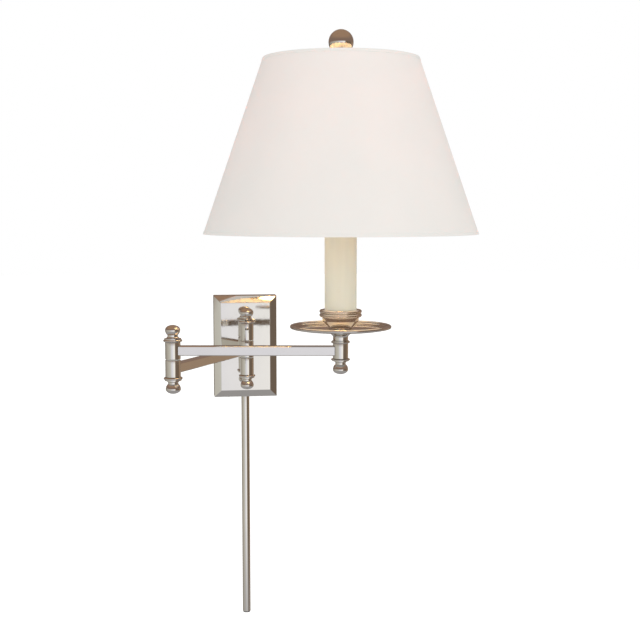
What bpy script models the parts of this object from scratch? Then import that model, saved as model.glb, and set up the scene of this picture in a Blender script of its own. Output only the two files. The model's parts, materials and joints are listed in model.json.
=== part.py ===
"""Swing arm wall sconce: a backplate and yoke carry two jointed bars, a candle, a dish and a paper shade.

Units are metres, +Z up. The origin is on the wall plane at the backplate's centre: +X runs to the right
along the wall and +Y goes into the wall, so the whole lamp stands in front of it at negative Y.
"""

import math

import bmesh
import bpy
from mathutils import Matrix, Vector

MM = 0.001
GAP = 0.3 * MM

# Backplate and what fixes it to the wall.
PLATE_WIDTH = 86 * MM
PLATE_HEIGHT = 140 * MM
PLATE_SIDE = 20 * MM
PLATE_BEVEL_WIDTH = 9.5 * MM
PLATE_BEVEL_DEPTH = 4 * MM
PLATE_WALL = 1.5 * MM
PLATE_FRONT = -(PLATE_SIDE + PLATE_BEVEL_DEPTH)
BRACKET_WIDTH = 62 * MM
BRACKET_SHEET = 2 * MM
BRACKET_FLANGE = 14 * MM
BRACKET_HALF_HEIGHT = PLATE_HEIGHT / 2 - PLATE_WALL - GAP
BRACKET_SLOT_Z = 41 * MM
BRACKET_SLOT_HALF = 5 * MM
BRACKET_SLOT_RADIUS = 2.6 * MM
WIRE_HOLE_RADIUS = 10 * MM
WIRE_HOLE_Z = -21 * MM
COVER_NOTCH = (18 * MM, 22 * MM, 8 * MM)
SCREW_X = 23 * MM
SCREW_Y = -9 * MM
SCREW_SHANK = 1.6 * MM
SCREW_HEAD_RADIUS = 3 * MM
SCREW_HEAD_HEIGHT = 1.6 * MM
SCREW_REACH = 7 * MM
PLATE_CORNER = 0.8 * MM
DRILL_LENGTH = 8 * MM
CONNECTOR_X = 22 * MM
CONNECTOR_Y = -12 * MM
CONNECTOR_Z = 32 * MM
GROUND_SCREW_X = 18 * MM
GROUND_SCREW_Z = -30 * MM

# Cord cover below the plate.
COVER_RADIUS = 5.5 * MM
COVER_BORE = 4.6 * MM
COVER_Y = -11 * MM
COVER_TOP = -60 * MM
COVER_BOTTOM = -378 * MM
COVER_NUT_ACROSS = 13 * MM
COVER_NUT_HEIGHT = 3 * MM
BUSH_BORE = 3.2 * MM
BUSH_DEPTH = 8 * MM
BUSH_LIP = 1 * MM

# Swing arms.
ARM_LENGTH = 200 * MM
LOWER_ARM_Z = -1 * MM
BAR_HEIGHT = 11.4 * MM
BAR_WIDTH = 12.7 * MM
BAR_WALL = 1.3 * MM
BAR_CHAMFER = 0.9 * MM
PIVOT_Y = -48 * MM
REST_LOWER = math.radians(-30)
REST_UPPER = math.radians(82)

# Round knuckles, collars, pins and finials of the three swivels.
KNUCKLE_RADIUS = 9.2 * MM
KNUCKLE_EDGE = 0.5 * MM
PIN_RADIUS = 4 * MM
PIN_BORE = PIN_RADIUS + GAP
WASHER = 0.6 * MM
KNUCKLE_GAP = WASHER + 2 * GAP
WALL_KNUCKLE = 22 * MM
YOKE_KNUCKLE = 22.8 * MM
ELBOW_KNUCKLE = 20.4 * MM
CANDLE_KNUCKLE = 18.4 * MM
UPPER_ARM_Z = LOWER_ARM_Z + ELBOW_KNUCKLE + KNUCKLE_GAP
COLLAR_RADIUS = 11.3 * MM
COLLAR_HEIGHT = 4 * MM
HEAD_COLLAR_HEIGHT = 2.6 * MM
FINIAL_RADIUS = 9.1 * MM
FINIAL_TIP = 5.8 * MM
FINIAL_SHOULDER = 8.5 * MM
FINIAL_NECK = 6.2 * MM
FINIAL_HEIGHT = 15.8 * MM
FINIAL_BORE_DEPTH = 9 * MM
PIN_IN_FINIAL = 8 * MM
CANDLE_KNUCKLE_BOTTOM = UPPER_ARM_Z - CANDLE_KNUCKLE / 2
CANDLE_KNUCKLE_TOP = UPPER_ARM_Z + CANDLE_KNUCKLE / 2
HEAD_FINIAL_BASE = CANDLE_KNUCKLE_BOTTOM - GAP - HEAD_COLLAR_HEIGHT - GAP

# Yoke between the plate and the wall swivel.
YOKE_WIDTH = 11 * MM
YOKE_WEB_BACK = PLATE_FRONT - GAP
YOKE_WEB_FRONT = -37 * MM
YOKE_TOP = WALL_KNUCKLE / 2 + KNUCKLE_GAP + YOKE_KNUCKLE
NIPPLE_RADIUS = 4.8 * MM
NIPPLE_BORE = 3 * MM
NIPPLE_END = -8 * MM
NIPPLE_IN_YOKE = 6 * MM
NIPPLE_WASHER_RADIUS = 11 * MM
NIPPLE_WASHER = 1.2 * MM
NIPPLE_NUT_ACROSS = 15 * MM
NIPPLE_NUT_HEIGHT = 4 * MM

# Candle, dish and cup, as heights above the plate's centre.
RISER_RADIUS = 4.8 * MM
RISER_BORE = 3.1 * MM
RISER_CLEAR = RISER_RADIUS + GAP
RISER_TOP = 191 * MM
STEM_RADIUS = 9 * MM
STEM_FLARE = 34 * MM
DISH_BOTTOM = 45.9 * MM
DISH_FLOOR = 47.5 * MM
DISH_RIM = 51.6 * MM
DISH_RADIUS = 60.4 * MM
DISH_ROLL = 2 * MM
DISH_WELL = 47 * MM
CUP_FOOT = DISH_FLOOR + GAP
CUP_FOOT_RADIUS = 14.2 * MM
CUP_TOP = 70 * MM
CUP_WAIST = 61 * MM
CUP_LIP = 25.5 * MM
CUP_NECK = 21.6 * MM
CUP_BORE = 19.4 * MM
CUP_FLOOR = 57.5 * MM
SLEEVE_RADIUS = 19 * MM
SLEEVE_WALL = 1.6 * MM
SLEEVE_TOP = 178 * MM

# Socket, bulb and harp.
SADDLE_Z = 179 * MM
SADDLE_SHEET = 1.5 * MM
SADDLE_HALF = 22 * MM
SADDLE_WIDTH = 12 * MM
SADDLE_LUG = 6 * MM
SOCKET_BASE = SADDLE_Z + SADDLE_SHEET + GAP
SOCKET_RADIUS = 17.5 * MM
SOCKET_SEAM = 200 * MM
SOCKET_TOP = 240 * MM
SOCKET_CAP_HUB = 9 * MM
SOCKET_CAP_WALL = 1.2 * MM
PHENOLIC_HALF = 6 * MM
CONTACT_BASE = SOCKET_SEAM + PHENOLIC_HALF + GAP
BULB_BASE_RADIUS = 12.9 * MM
BULB_BASE_BOTTOM = 211 * MM
BULB_BASE_TOP = 236 * MM
BULB_RADIUS = 30 * MM
BULB_CENTRE = 288 * MM
BULB_WALL = 1 * MM
HARP_WIRE = 1.2 * MM
HARP_HALF = 54 * MM
HARP_BELLY = 262 * MM
HARP_TOP = 350 * MM
HARP_STRAIGHT = 14 * MM

# Shade and what hangs it.
SHADE_BOTTOM = 159.5 * MM
SHADE_TOP = 363 * MM
SHADE_BOTTOM_RADIUS = 162 * MM
SHADE_TOP_RADIUS = 91.4 * MM
SHADE_WALL = 1.5 * MM
RING_WIRE = 1.5 * MM
RING_INSET = 1.9 * MM
TOP_RING_Z = SHADE_TOP - RING_INSET
TOP_RING_RADIUS = 88.2 * MM
BOTTOM_RING_Z = SHADE_BOTTOM + RING_INSET
BOTTOM_RING_RADIUS = 157.9 * MM
HUB_RADIUS = 9 * MM
HUB_HEIGHT = 3 * MM
STUD_RADIUS = 3 * MM
STUD_BASE = HARP_TOP + HARP_WIRE + GAP
STUD_FLANGE = 2.5 * MM
STUD_FLANGE_RADIUS = 6.5 * MM
HUB_Z = STUD_BASE + STUD_FLANGE + GAP
BALL_RADIUS = 14.6 * MM
BALL_CENTRE = 381.6 * MM

# Leads.
LEAD_RADIUS = 1.1 * MM
BAR_LEAD_SPANS = 8
HEAD_LEAD_SPANS = 4

# How finely round pieces are turned.
SMALL_STEPS = 16
MEDIUM_STEPS = 24
LARGE_STEPS = 40

COLLECTION = "swing_arm_wall_sconce"
CUTTERS = "cutters"


def clear_scene():
    """Remove whatever the file holds and make the two collections."""
    for obj in list(bpy.data.objects):
        bpy.data.objects.remove(obj, do_unlink=True)
    for name in (COLLECTION, CUTTERS):
        bpy.context.scene.collection.children.link(bpy.data.collections.new(name))


def finish(name, colour, roughness, metallic):
    """Make one Principled material."""
    material = bpy.data.materials.new(name)
    material.use_nodes = True
    shader = material.node_tree.nodes["Principled BSDF"]
    shader.inputs["Base Color"].default_value = (*colour, 1)
    shader.inputs["Roughness"].default_value = roughness
    shader.inputs["Metallic"].default_value = metallic
    return material


def nickel(name):
    return finish(name + "_polished_nickel", (0.78, 0.76, 0.73), 0.08, 1)


def steel(name):
    return finish(name + "_zinc_steel", (0.60, 0.60, 0.62), 0.35, 1)


def brass(name):
    return finish(name + "_brass", (0.78, 0.58, 0.28), 0.25, 1)


def phenolic(name):
    return finish(name + "_black_phenolic", (0.02, 0.02, 0.02), 0.4, 0)


def nylon(name):
    return finish(name + "_nylon", (0.85, 0.84, 0.80), 0.5, 0)


def insulation(name):
    return finish(name + "_insulation", (0.75, 0.72, 0.62), 0.5, 0)


def shade_paper(name):
    return finish(name + "_white_paper", (0.90, 0.89, 0.86), 0.8, 0)


def ivory(name):
    return finish(name + "_ivory_card", (0.80, 0.74, 0.56), 0.55, 0)


def clear_glass(name):
    return finish(name + "_soft_white_glass", (0.93, 0.92, 0.88), 0.2, 0)


def link(obj, material, parent=None, collection=COLLECTION):
    """Put an object in its collection, under its parent, with its material."""
    for owner in obj.users_collection:
        owner.objects.unlink(obj)
    bpy.data.collections[collection].objects.link(obj)
    obj.parent = parent
    if material is not None:
        obj.data.materials.clear()
        obj.data.materials.append(material)
    return obj


def smooth(obj):
    """Shade a round piece smooth, with its real edges kept sharp."""
    obj.data.shade_smooth()
    obj.data.set_sharp_from_angle(angle=math.radians(40))
    return obj


def hidden_cutter(obj):
    """Keep a cutter out of the model."""
    obj.hide_render = True
    obj.display_type = "WIRE"
    return obj


def arc(centre_r, centre_z, radius_r, radius_z, start, end, count):
    """Points of an elliptical arc in a turned outline, from start to end in degrees."""
    points = []
    for index in range(count + 1):
        angle = math.radians(start + (end - start) * index / count)
        points.append((centre_r + radius_r * math.cos(angle), centre_z + radius_z * math.sin(angle)))
    return points


def outline_mesh(name, outline, closed):
    """A wire of (radius, height) points at +X, ready for a Screw modifier."""
    vertices = [(radius, 0, height) for radius, height in outline]
    edges = [(index, index + 1) for index in range(len(vertices) - 1)]
    if closed:
        edges.append((len(vertices) - 1, 0))
    mesh = bpy.data.meshes.new(name)
    mesh.from_pydata(vertices, edges, [])
    return mesh


def turned(name, outline, closed, steps, material, parent=None, place=(0, 0, 0), collection=COLLECTION):
    """A turned piece: the outline runs down its outer side, from the top."""
    obj = bpy.data.objects.new(name, outline_mesh(name, outline, closed))
    link(obj, material, parent, collection)
    obj.location = place
    screw = obj.modifiers.new("turn", "SCREW")
    screw.axis = "Z"
    screw.angle = math.tau
    screw.steps = steps
    screw.render_steps = steps
    screw.use_merge_vertices = True
    screw.merge_threshold = 0.00001
    screw.use_smooth_shade = True
    return obj


def ring_outline(outer, inner, bottom, top, edge=0.0):
    """Closed outline of a plain ring, with its outer edges chamfered."""
    if edge == 0:
        return [(outer, top), (outer, bottom), (inner, bottom), (inner, top)]
    return [
        (outer - edge, top),
        (outer, top - edge),
        (outer, bottom + edge),
        (outer - edge, bottom),
        (inner, bottom),
        (inner, top),
    ]


def rod_outline(radius, bottom, top, edge):
    """Open outline of a solid rod, with its ends chamfered."""
    return [
        (0, top),
        (radius - edge, top),
        (radius, top - edge),
        (radius, bottom + edge),
        (radius - edge, bottom),
        (0, bottom),
    ]


def wire(name, points, radius, material, parent=None):
    """A round wire through a list of points, with its ends filled."""
    curve = bpy.data.curves.new(name, "CURVE")
    curve.dimensions = "3D"
    curve.bevel_depth = radius
    curve.bevel_resolution = 2
    curve.use_fill_caps = True
    spline = curve.splines.new("POLY")
    spline.points.add(len(points) - 1)
    for point, place in zip(spline.points, points):
        point.co = (*place, 1)
    obj = bpy.data.objects.new(name, curve)
    return link(obj, material, parent)


def smooth_route(knots, per_span):
    """Points of a smooth curve through the knots, with its ends held straight."""
    knots = [Vector(knot) for knot in knots]
    padded = [2 * knots[0] - knots[1]] + knots + [2 * knots[-1] - knots[-2]]
    points = []
    for index in range(1, len(padded) - 2):
        before, start, end, after = padded[index - 1:index + 3]
        for step in range(per_span):
            t = step / per_span
            points.append(0.5 * (
                2 * start
                + (end - before) * t
                + (2 * before - 5 * start + 4 * end - after) * t * t
                + (3 * start - before - 3 * end + after) * t * t * t
            ))
    points.append(knots[-1])
    return points


def flat_outline(name, corners, thickness, material, parent=None):
    """A flat outline in its own XY plane, extruded both ways, as a closed mesh."""
    curve = bpy.data.curves.new(name, "CURVE")
    curve.dimensions = "2D"
    curve.fill_mode = "BOTH"
    curve.extrude = thickness / 2
    spline = curve.splines.new("POLY")
    spline.points.add(len(corners) - 1)
    spline.use_cyclic_u = True
    for point, corner in zip(spline.points, corners):
        point.co = (corner[0], corner[1], 0, 1)
    flat = bpy.data.objects.new(name + "_outline", curve)
    link(flat, None)
    bpy.context.view_layer.update()
    mesh = bpy.data.meshes.new_from_object(flat.evaluated_get(bpy.context.evaluated_depsgraph_get()))
    weld(mesh)
    bpy.data.objects.remove(flat, do_unlink=True)
    bpy.data.curves.remove(curve)
    mesh.name = name
    return link(bpy.data.objects.new(name, mesh), material, parent)


def side_outline(name, corners, thickness, material):
    """A flat outline given as (Y, Z) points, extruded both ways along X."""
    obj = flat_outline(name, corners, thickness, material)
    obj.data.transform(Matrix(((0, 0, 1, 0), (1, 0, 0, 0), (0, 1, 0, 0), (0, 0, 0, 1))))
    return obj


def weld(mesh):
    """Close the loose caps of a mesh made from a curve."""
    work = bmesh.new()
    work.from_mesh(mesh)
    bmesh.ops.remove_doubles(work, verts=work.verts, dist=0.000001)
    bmesh.ops.recalc_face_normals(work, faces=work.faces)
    work.to_mesh(mesh)
    work.free()


def block(name, size, centre, material=None, parent=None, collection=COLLECTION):
    """A rectangular block of a given size about a centre."""
    work = bmesh.new()
    bmesh.ops.create_cube(work, size=1)
    bmesh.ops.scale(work, vec=size, verts=work.verts)
    bmesh.ops.translate(work, vec=centre, verts=work.verts)
    mesh = bpy.data.meshes.new(name)
    work.to_mesh(mesh)
    work.free()
    return link(bpy.data.objects.new(name, mesh), material, parent, collection)


def round_bar(name, radius, length, turn, centre, parent=None, sides=SMALL_STEPS):
    """A round or many-sided bar about a centre, used to cut and to join."""
    work = bmesh.new()
    bmesh.ops.create_cone(
        work, cap_ends=True, segments=sides, radius1=radius, radius2=radius, depth=length
    )
    mesh = bpy.data.meshes.new(name)
    work.to_mesh(mesh)
    work.free()
    obj = link(bpy.data.objects.new(name, mesh), None, parent, CUTTERS)
    obj.rotation_euler = turn
    obj.location = centre
    return hidden_cutter(obj)


def join_or_cut(target, operation, tool):
    """Add a Boolean by one tool object to a piece."""
    boolean = target.modifiers.new(tool.name, "BOOLEAN")
    boolean.operation = operation
    boolean.solver = "EXACT"
    boolean.object = tool
    hidden_cutter(tool)
    return target


def axis_empty(name, parent, place, turn):
    """An empty on a swivel's axis, which carries one body's pieces."""
    empty = bpy.data.objects.new(name, None)
    bpy.data.collections[COLLECTION].objects.link(empty)
    empty.parent = parent
    empty.location = place
    empty.rotation_euler = (0, 0, turn)
    return empty


ALONG_X = (0, math.radians(90), 0)
ALONG_Y = (math.radians(90), 0, 0)
ALONG_Z = (0, 0, 0)
UPSIDE_DOWN = (math.radians(180), 0, 0)
FLATS_FORWARD = (0, 0, math.radians(30))


# ---------------------------------------------------------------- wall side


def wall_bracket():
    """Folded sheet against the wall: two flanges take the plate, two slots take the box's screws."""
    half = BRACKET_HALF_HEIGHT
    inner = half - BRACKET_SHEET
    corners = [
        (0, -half),
        (0, half),
        (-BRACKET_FLANGE, half),
        (-BRACKET_FLANGE, inner),
        (-BRACKET_SHEET, inner),
        (-BRACKET_SHEET, -inner),
        (-BRACKET_FLANGE, -inner),
        (-BRACKET_FLANGE, -half),
    ]
    bracket = side_outline("mounting_bracket", corners, BRACKET_WIDTH, steel("mounting_bracket"))
    middle = -BRACKET_SHEET / 2
    for side in (-1, 1):
        slot = side * BRACKET_SLOT_Z
        for end in (-1, 1):
            place = (0, middle, slot + end * BRACKET_SLOT_HALF)
            name = f"slot_end_{side}_{end}"
            cutter = round_bar(name, BRACKET_SLOT_RADIUS, DRILL_LENGTH, ALONG_Y, place)
            join_or_cut(bracket, "DIFFERENCE", cutter)
        size = (2 * BRACKET_SLOT_RADIUS, DRILL_LENGTH + GAP, 2 * BRACKET_SLOT_HALF)
        cutter = block(f"slot_middle_{side}", size, (0, middle, slot), collection=CUTTERS)
        join_or_cut(bracket, "DIFFERENCE", cutter)
        place = (side * SCREW_X, SCREW_Y, -half)
        cutter = round_bar(f"flange_hole_{side}", SCREW_SHANK + GAP, DRILL_LENGTH, ALONG_Z, place)
        join_or_cut(bracket, "DIFFERENCE", cutter)
    place = (0, middle, WIRE_HOLE_Z)
    cutter = round_bar("wire_hole", WIRE_HOLE_RADIUS, DRILL_LENGTH, ALONG_Y, place)
    join_or_cut(bracket, "DIFFERENCE", cutter)
    notch = block("cover_notch", COVER_NOTCH, (0, COVER_Y - 2 * MM, -half), collection=CUTTERS)
    return join_or_cut(bracket, "DIFFERENCE", notch)


def backplate():
    """Thin bevelled cover, open at the wall."""
    work = bmesh.new()
    bmesh.ops.create_cube(work, size=1)
    bmesh.ops.scale(work, vec=(PLATE_WIDTH, PLATE_SIDE, PLATE_HEIGHT), verts=work.verts)
    bmesh.ops.translate(work, vec=(0, -PLATE_SIDE / 2, 0), verts=work.verts)
    work.faces.ensure_lookup_table()
    front = min(work.faces, key=lambda face: face.calc_center_median().y)
    back = max(work.faces, key=lambda face: face.calc_center_median().y)
    raised = bmesh.ops.extrude_discrete_faces(work, faces=[front])["faces"][0]
    bmesh.ops.translate(work, vec=(0, -PLATE_BEVEL_DEPTH, 0), verts=raised.verts)
    narrowed = (1 - 2 * PLATE_BEVEL_WIDTH / PLATE_WIDTH, 1, 1 - 2 * PLATE_BEVEL_WIDTH / PLATE_HEIGHT)
    bmesh.ops.scale(work, vec=narrowed, verts=raised.verts)
    rim = [vertex for vertex in work.verts if abs(vertex.co.y + PLATE_SIDE) < GAP]
    bmesh.ops.remove_doubles(work, verts=rim, dist=0.000001)
    bmesh.ops.delete(work, geom=[back], context="FACES_ONLY")
    corners = [edge for edge in work.edges if abs(edge.verts[0].co.y - edge.verts[1].co.y) > PLATE_SIDE / 2]
    bmesh.ops.bevel(work, geom=corners, offset=PLATE_CORNER, segments=2, profile=0.5, affect="EDGES")
    bmesh.ops.recalc_face_normals(work, faces=work.faces)
    mesh = bpy.data.meshes.new("backplate")
    work.to_mesh(mesh)
    work.free()
    plate = link(bpy.data.objects.new("backplate", mesh), nickel("backplate"))
    shell = plate.modifiers.new("wall", "SOLIDIFY")
    shell.thickness = PLATE_WALL
    shell.offset = -1
    shell.use_even_offset = True
    place = (0, PLATE_FRONT, 0)
    stud_hole = round_bar("plate_stud_hole", NIPPLE_RADIUS + GAP, DRILL_LENGTH, ALONG_Y, place)
    join_or_cut(plate, "DIFFERENCE", stud_hole)
    floor = -PLATE_HEIGHT / 2
    place = (0, COVER_Y, floor)
    cover_hole = round_bar("plate_cover_hole", COVER_RADIUS + GAP, DRILL_LENGTH, ALONG_Z, place)
    join_or_cut(plate, "DIFFERENCE", cover_hole)
    for side in (-1, 1):
        place = (side * SCREW_X, SCREW_Y, floor)
        name = f"plate_screw_hole_{side}"
        screw_hole = round_bar(name, SCREW_SHANK + GAP, DRILL_LENGTH, ALONG_Z, place)
        join_or_cut(plate, "DIFFERENCE", screw_hole)
    return plate


def backplate_screw(side, name):
    """Oval-head screw up through the plate's underside into the bracket's flange."""
    seat = -PLATE_HEIGHT / 2 - GAP
    tip = -PLATE_HEIGHT / 2 + SCREW_REACH
    outline = [
        (0, tip),
        (SCREW_SHANK, tip),
        (SCREW_SHANK, seat),
        (SCREW_HEAD_RADIUS, seat),
        *arc(0, seat, SCREW_HEAD_RADIUS, SCREW_HEAD_HEIGHT, 0, -90, 4)[1:-1],
        (0, seat - SCREW_HEAD_HEIGHT),
    ]
    place = (side * SCREW_X, SCREW_Y, 0)
    return turned(name, outline, False, SMALL_STEPS, nickel(name), place=place)


def yoke():
    """C-shaped casting: a foot on the plate, a web, and the two fixed knuckles of the wall swivel."""
    inner = YOKE_TOP - YOKE_KNUCKLE
    corners = [
        (YOKE_WEB_BACK, -YOKE_TOP),
        (YOKE_WEB_BACK, YOKE_TOP),
        (PIVOT_Y, YOKE_TOP),
        (PIVOT_Y, inner),
        (YOKE_WEB_FRONT, inner),
        (YOKE_WEB_FRONT, -inner),
        (PIVOT_Y, -inner),
        (PIVOT_Y, -YOKE_TOP),
    ]
    casting = side_outline("wall_yoke", corners, YOKE_WIDTH, nickel("wall_yoke"))
    for side in (-1, 1):
        place = (0, PIVOT_Y, side * (inner + YOKE_TOP) / 2)
        name = f"yoke_drum_{side}"
        drum = round_bar(name, KNUCKLE_RADIUS, YOKE_KNUCKLE, ALONG_Z, place, sides=MEDIUM_STEPS)
        join_or_cut(casting, "UNION", drum)
    pin_hole = round_bar("yoke_pin_hole", PIN_BORE, 2.4 * YOKE_TOP, ALONG_Z, (0, PIVOT_Y, 0))
    join_or_cut(casting, "DIFFERENCE", pin_hole)
    place = (0, YOKE_WEB_BACK, 0)
    stud_hole = round_bar("yoke_stud_hole", NIPPLE_RADIUS + GAP, 2 * NIPPLE_IN_YOKE + 2 * MM, ALONG_Y, place)
    join_or_cut(casting, "DIFFERENCE", stud_hole)
    return smooth(casting)


def yoke_nipple():
    """Hollow threaded nipple from the yoke's web back through the plate."""
    front = YOKE_WEB_BACK - NIPPLE_IN_YOKE
    outline = ring_outline(NIPPLE_RADIUS, NIPPLE_BORE, -NIPPLE_END, -front, 0.5 * MM)
    nipple = turned("yoke_nipple", outline, True, SMALL_STEPS, steel("yoke_nipple"))
    nipple.rotation_euler = ALONG_Y
    return nipple


def nipple_washer():
    """Flat washer between the plate's inside and the nut."""
    front = -PLATE_FRONT - PLATE_WALL - GAP
    outline = ring_outline(NIPPLE_WASHER_RADIUS, NIPPLE_RADIUS + GAP, front - NIPPLE_WASHER, front)
    washer = turned("nipple_washer", outline, True, SMALL_STEPS, steel("nipple_washer"))
    washer.rotation_euler = ALONG_Y
    return washer


def hex_nut(name, across, height, bore, centre, turn, material):
    """A plain hexagon nut about a centre."""
    nut = round_bar(name, across / math.sqrt(3), height, turn, centre, sides=6)
    nut.hide_render = False
    nut.display_type = "SOLID"
    link(nut, material)
    hole = round_bar(name + "_bore", bore, 3 * height, turn, centre)
    return join_or_cut(nut, "DIFFERENCE", hole)


def nipple_nut():
    """Nut that pulls the yoke against the plate."""
    front = PLATE_FRONT + PLATE_WALL + GAP + NIPPLE_WASHER + GAP
    centre = (0, front + NIPPLE_NUT_HEIGHT / 2, 0)
    bore = NIPPLE_RADIUS + GAP
    material = brass("nipple_nut")
    return hex_nut("nipple_nut", NIPPLE_NUT_ACROSS, NIPPLE_NUT_HEIGHT, bore, centre, ALONG_Y, material)


def wire_connector(side, name):
    """Twist-on connector inside the plate."""
    length = 20 * MM
    outline = [
        (0, length),
        (2.5 * MM, length),
        (3.5 * MM, length - 1 * MM),
        (5 * MM, 4 * MM),
        (6 * MM, 3 * MM),
        (6 * MM, 0),
        (0, 0),
    ]
    material = finish(name + "_orange_plastic", (0.80, 0.30, 0.05), 0.45, 0)
    place = (side * CONNECTOR_X, CONNECTOR_Y, CONNECTOR_Z)
    return turned(name, outline, False, SMALL_STEPS, material, place=place)


def plate_lead(side, name):
    """One lead from the nipple's bore up to a wire connector."""
    knots = [
        (side * 1.5 * MM, -15 * MM, 0),
        (side * 1.6 * MM, -9 * MM, 0),
        (side * 2.2 * MM, -6 * MM, 1 * MM),
        (side * 8 * MM, -5.2 * MM, 9 * MM),
        (side * 19 * MM, -8 * MM, 20 * MM),
        (side * CONNECTOR_X, CONNECTOR_Y, CONNECTOR_Z - GAP),
    ]
    return wire(name, smooth_route(knots, 3), LEAD_RADIUS, insulation(name))


def ground_screw():
    """Green earthing screw in the bracket."""
    outline = [
        (0, 5.6 * MM),
        (2.6 * MM, 5.2 * MM),
        (4 * MM, 4.2 * MM),
        (4 * MM, BRACKET_SHEET + GAP),
        (0, BRACKET_SHEET + GAP),
    ]
    material = finish("ground_screw_green_steel", (0.05, 0.35, 0.12), 0.4, 1)
    place = (GROUND_SCREW_X, 0, GROUND_SCREW_Z)
    screw = turned("ground_screw", outline, False, SMALL_STEPS, material, place=place)
    screw.rotation_euler = ALONG_Y
    return screw


def wall_pin():
    """Pin through the three knuckles of the wall swivel."""
    reach = YOKE_TOP + GAP + COLLAR_HEIGHT + GAP + PIN_IN_FINIAL
    outline = rod_outline(PIN_RADIUS, -reach, reach, 0.5 * MM)
    return turned("wall_pin", outline, False, SMALL_STEPS, steel("wall_pin"), place=(0, PIVOT_Y, 0))


def washer(name, below, parent, place):
    """Thin slip washer that keeps two knuckles apart."""
    bottom = below + GAP
    outline = ring_outline(KNUCKLE_RADIUS - 0.8 * MM, PIN_BORE, bottom, bottom + WASHER)
    return turned(name, outline, True, SMALL_STEPS, nylon(name), parent, place)


def cord_cover():
    """Straight tube that hides the cord below the plate."""
    outline = ring_outline(COVER_RADIUS, COVER_BORE, COVER_BOTTOM, COVER_TOP, 0.3 * MM)
    return turned(
        "cord_cover_tube", outline, True, SMALL_STEPS, nickel("cord_cover_tube"), place=(0, COVER_Y, 0)
    )


def cover_locknut():
    """Thin nut inside the plate that holds the cord cover up."""
    centre = (0, COVER_Y, COVER_NUT_HEIGHT / 2 - BRACKET_HALF_HEIGHT)
    bore = COVER_RADIUS + GAP
    material = brass("cover_locknut")
    return hex_nut(
        "cover_locknut", COVER_NUT_ACROSS, COVER_NUT_HEIGHT, bore, centre, FLATS_FORWARD, material
    )


def cover_bushing():
    """Black bush in the open lower end of the cord cover."""
    outer = COVER_BORE - GAP
    flange = COVER_RADIUS - 0.4 * MM
    seat = COVER_BOTTOM - GAP
    outline = [
        (outer, COVER_BOTTOM + BUSH_DEPTH),
        (outer, seat),
        (flange, seat),
        (flange, seat - BUSH_LIP),
        (BUSH_BORE, seat - BUSH_LIP),
        (BUSH_BORE, COVER_BOTTOM + BUSH_DEPTH),
    ]
    material = finish("cover_bushing_black_rubber", (0.03, 0.03, 0.03), 0.6, 0)
    return turned("cover_bushing", outline, True, SMALL_STEPS, material, place=(0, COVER_Y, 0))


# ---------------------------------------------------------------- swivels


def collar(name, bottom, height, bore, parent, place):
    """Polished collar between a knuckle and its finial."""
    outline = ring_outline(COLLAR_RADIUS, bore, bottom, bottom + height, 0.9 * MM)
    return turned(name, outline, True, MEDIUM_STEPS, nickel(name), parent, place)


def finial(name, base, upward, bore, parent, place):
    """Ball-topped cap nut, turned with a blind bore for the pin."""
    widest = FINIAL_HEIGHT - FINIAL_TIP
    neck_angle = -math.degrees(math.acos(FINIAL_NECK / FINIAL_RADIUS))
    outline = [
        (0, FINIAL_HEIGHT),
        *arc(0, widest, FINIAL_RADIUS, FINIAL_TIP, 90, 0, 4)[1:],
        *arc(0, widest, FINIAL_RADIUS, FINIAL_SHOULDER, 0, neck_angle, 3)[1:],
        (FINIAL_NECK, 1.6 * MM),
        (FINIAL_NECK + 1 * MM, 0.6 * MM),
        (FINIAL_NECK + 1 * MM, 0),
        (bore, 0),
        (bore, FINIAL_BORE_DEPTH),
        (0, FINIAL_BORE_DEPTH),
    ]
    cap = turned(name, outline, False, SMALL_STEPS, nickel(name), parent, (*place, base))
    if not upward:
        cap.rotation_euler = UPSIDE_DOWN
    return cap


def knuckle(name, bottom, height, bore, parent, place):
    """Round barrel that turns on a pin."""
    outline = ring_outline(KNUCKLE_RADIUS, bore, bottom, bottom + height, KNUCKLE_EDGE)
    return turned(name, outline, True, MEDIUM_STEPS, nickel(name), parent, place)


def bar(name, height, parent):
    """Hollow rectangular bar between two knuckles, its ends coped to their rounds."""
    middle = (0, -ARM_LENGTH / 2, height)
    outer = block(name, (BAR_WIDTH, ARM_LENGTH, BAR_HEIGHT), middle, nickel(name), parent)
    edges = outer.modifiers.new("chamfer", "BEVEL")
    edges.width = BAR_CHAMFER
    edges.segments = 1
    edges.limit_method = "ANGLE"
    size = (BAR_WIDTH - 2 * BAR_WALL, ARM_LENGTH + 10 * MM, BAR_HEIGHT - 2 * BAR_WALL)
    bore = block(name + "_bore", size, middle, parent=parent, collection=CUTTERS)
    join_or_cut(outer, "DIFFERENCE", bore)
    for end in (0, -ARM_LENGTH):
        cope = round_bar(
            f"{name}_cope_{'near' if end == 0 else 'far'}",
            KNUCKLE_RADIUS + GAP,
            3 * BAR_HEIGHT,
            ALONG_Z,
            (0, end, height),
            parent,
            sides=MEDIUM_STEPS,
        )
        join_or_cut(outer, "DIFFERENCE", cope)
    return outer


def bar_lead(name, height, parent):
    """Twin lead lying in a bar, with a little slack."""
    end = KNUCKLE_RADIUS + 3 * MM
    drop = height - BAR_HEIGHT / 2 + BAR_WALL + LEAD_RADIUS + GAP
    span = ARM_LENGTH - 2 * end
    points = []
    for index in range(BAR_LEAD_SPANS + 1):
        share = index / BAR_LEAD_SPANS
        sway = 2.2 * MM * math.sin(share * math.tau)
        points.append((sway, -end - span * share, drop))
    return wire(name, points, LEAD_RADIUS, insulation(name), parent)


# ---------------------------------------------------------------- lamp head


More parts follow.
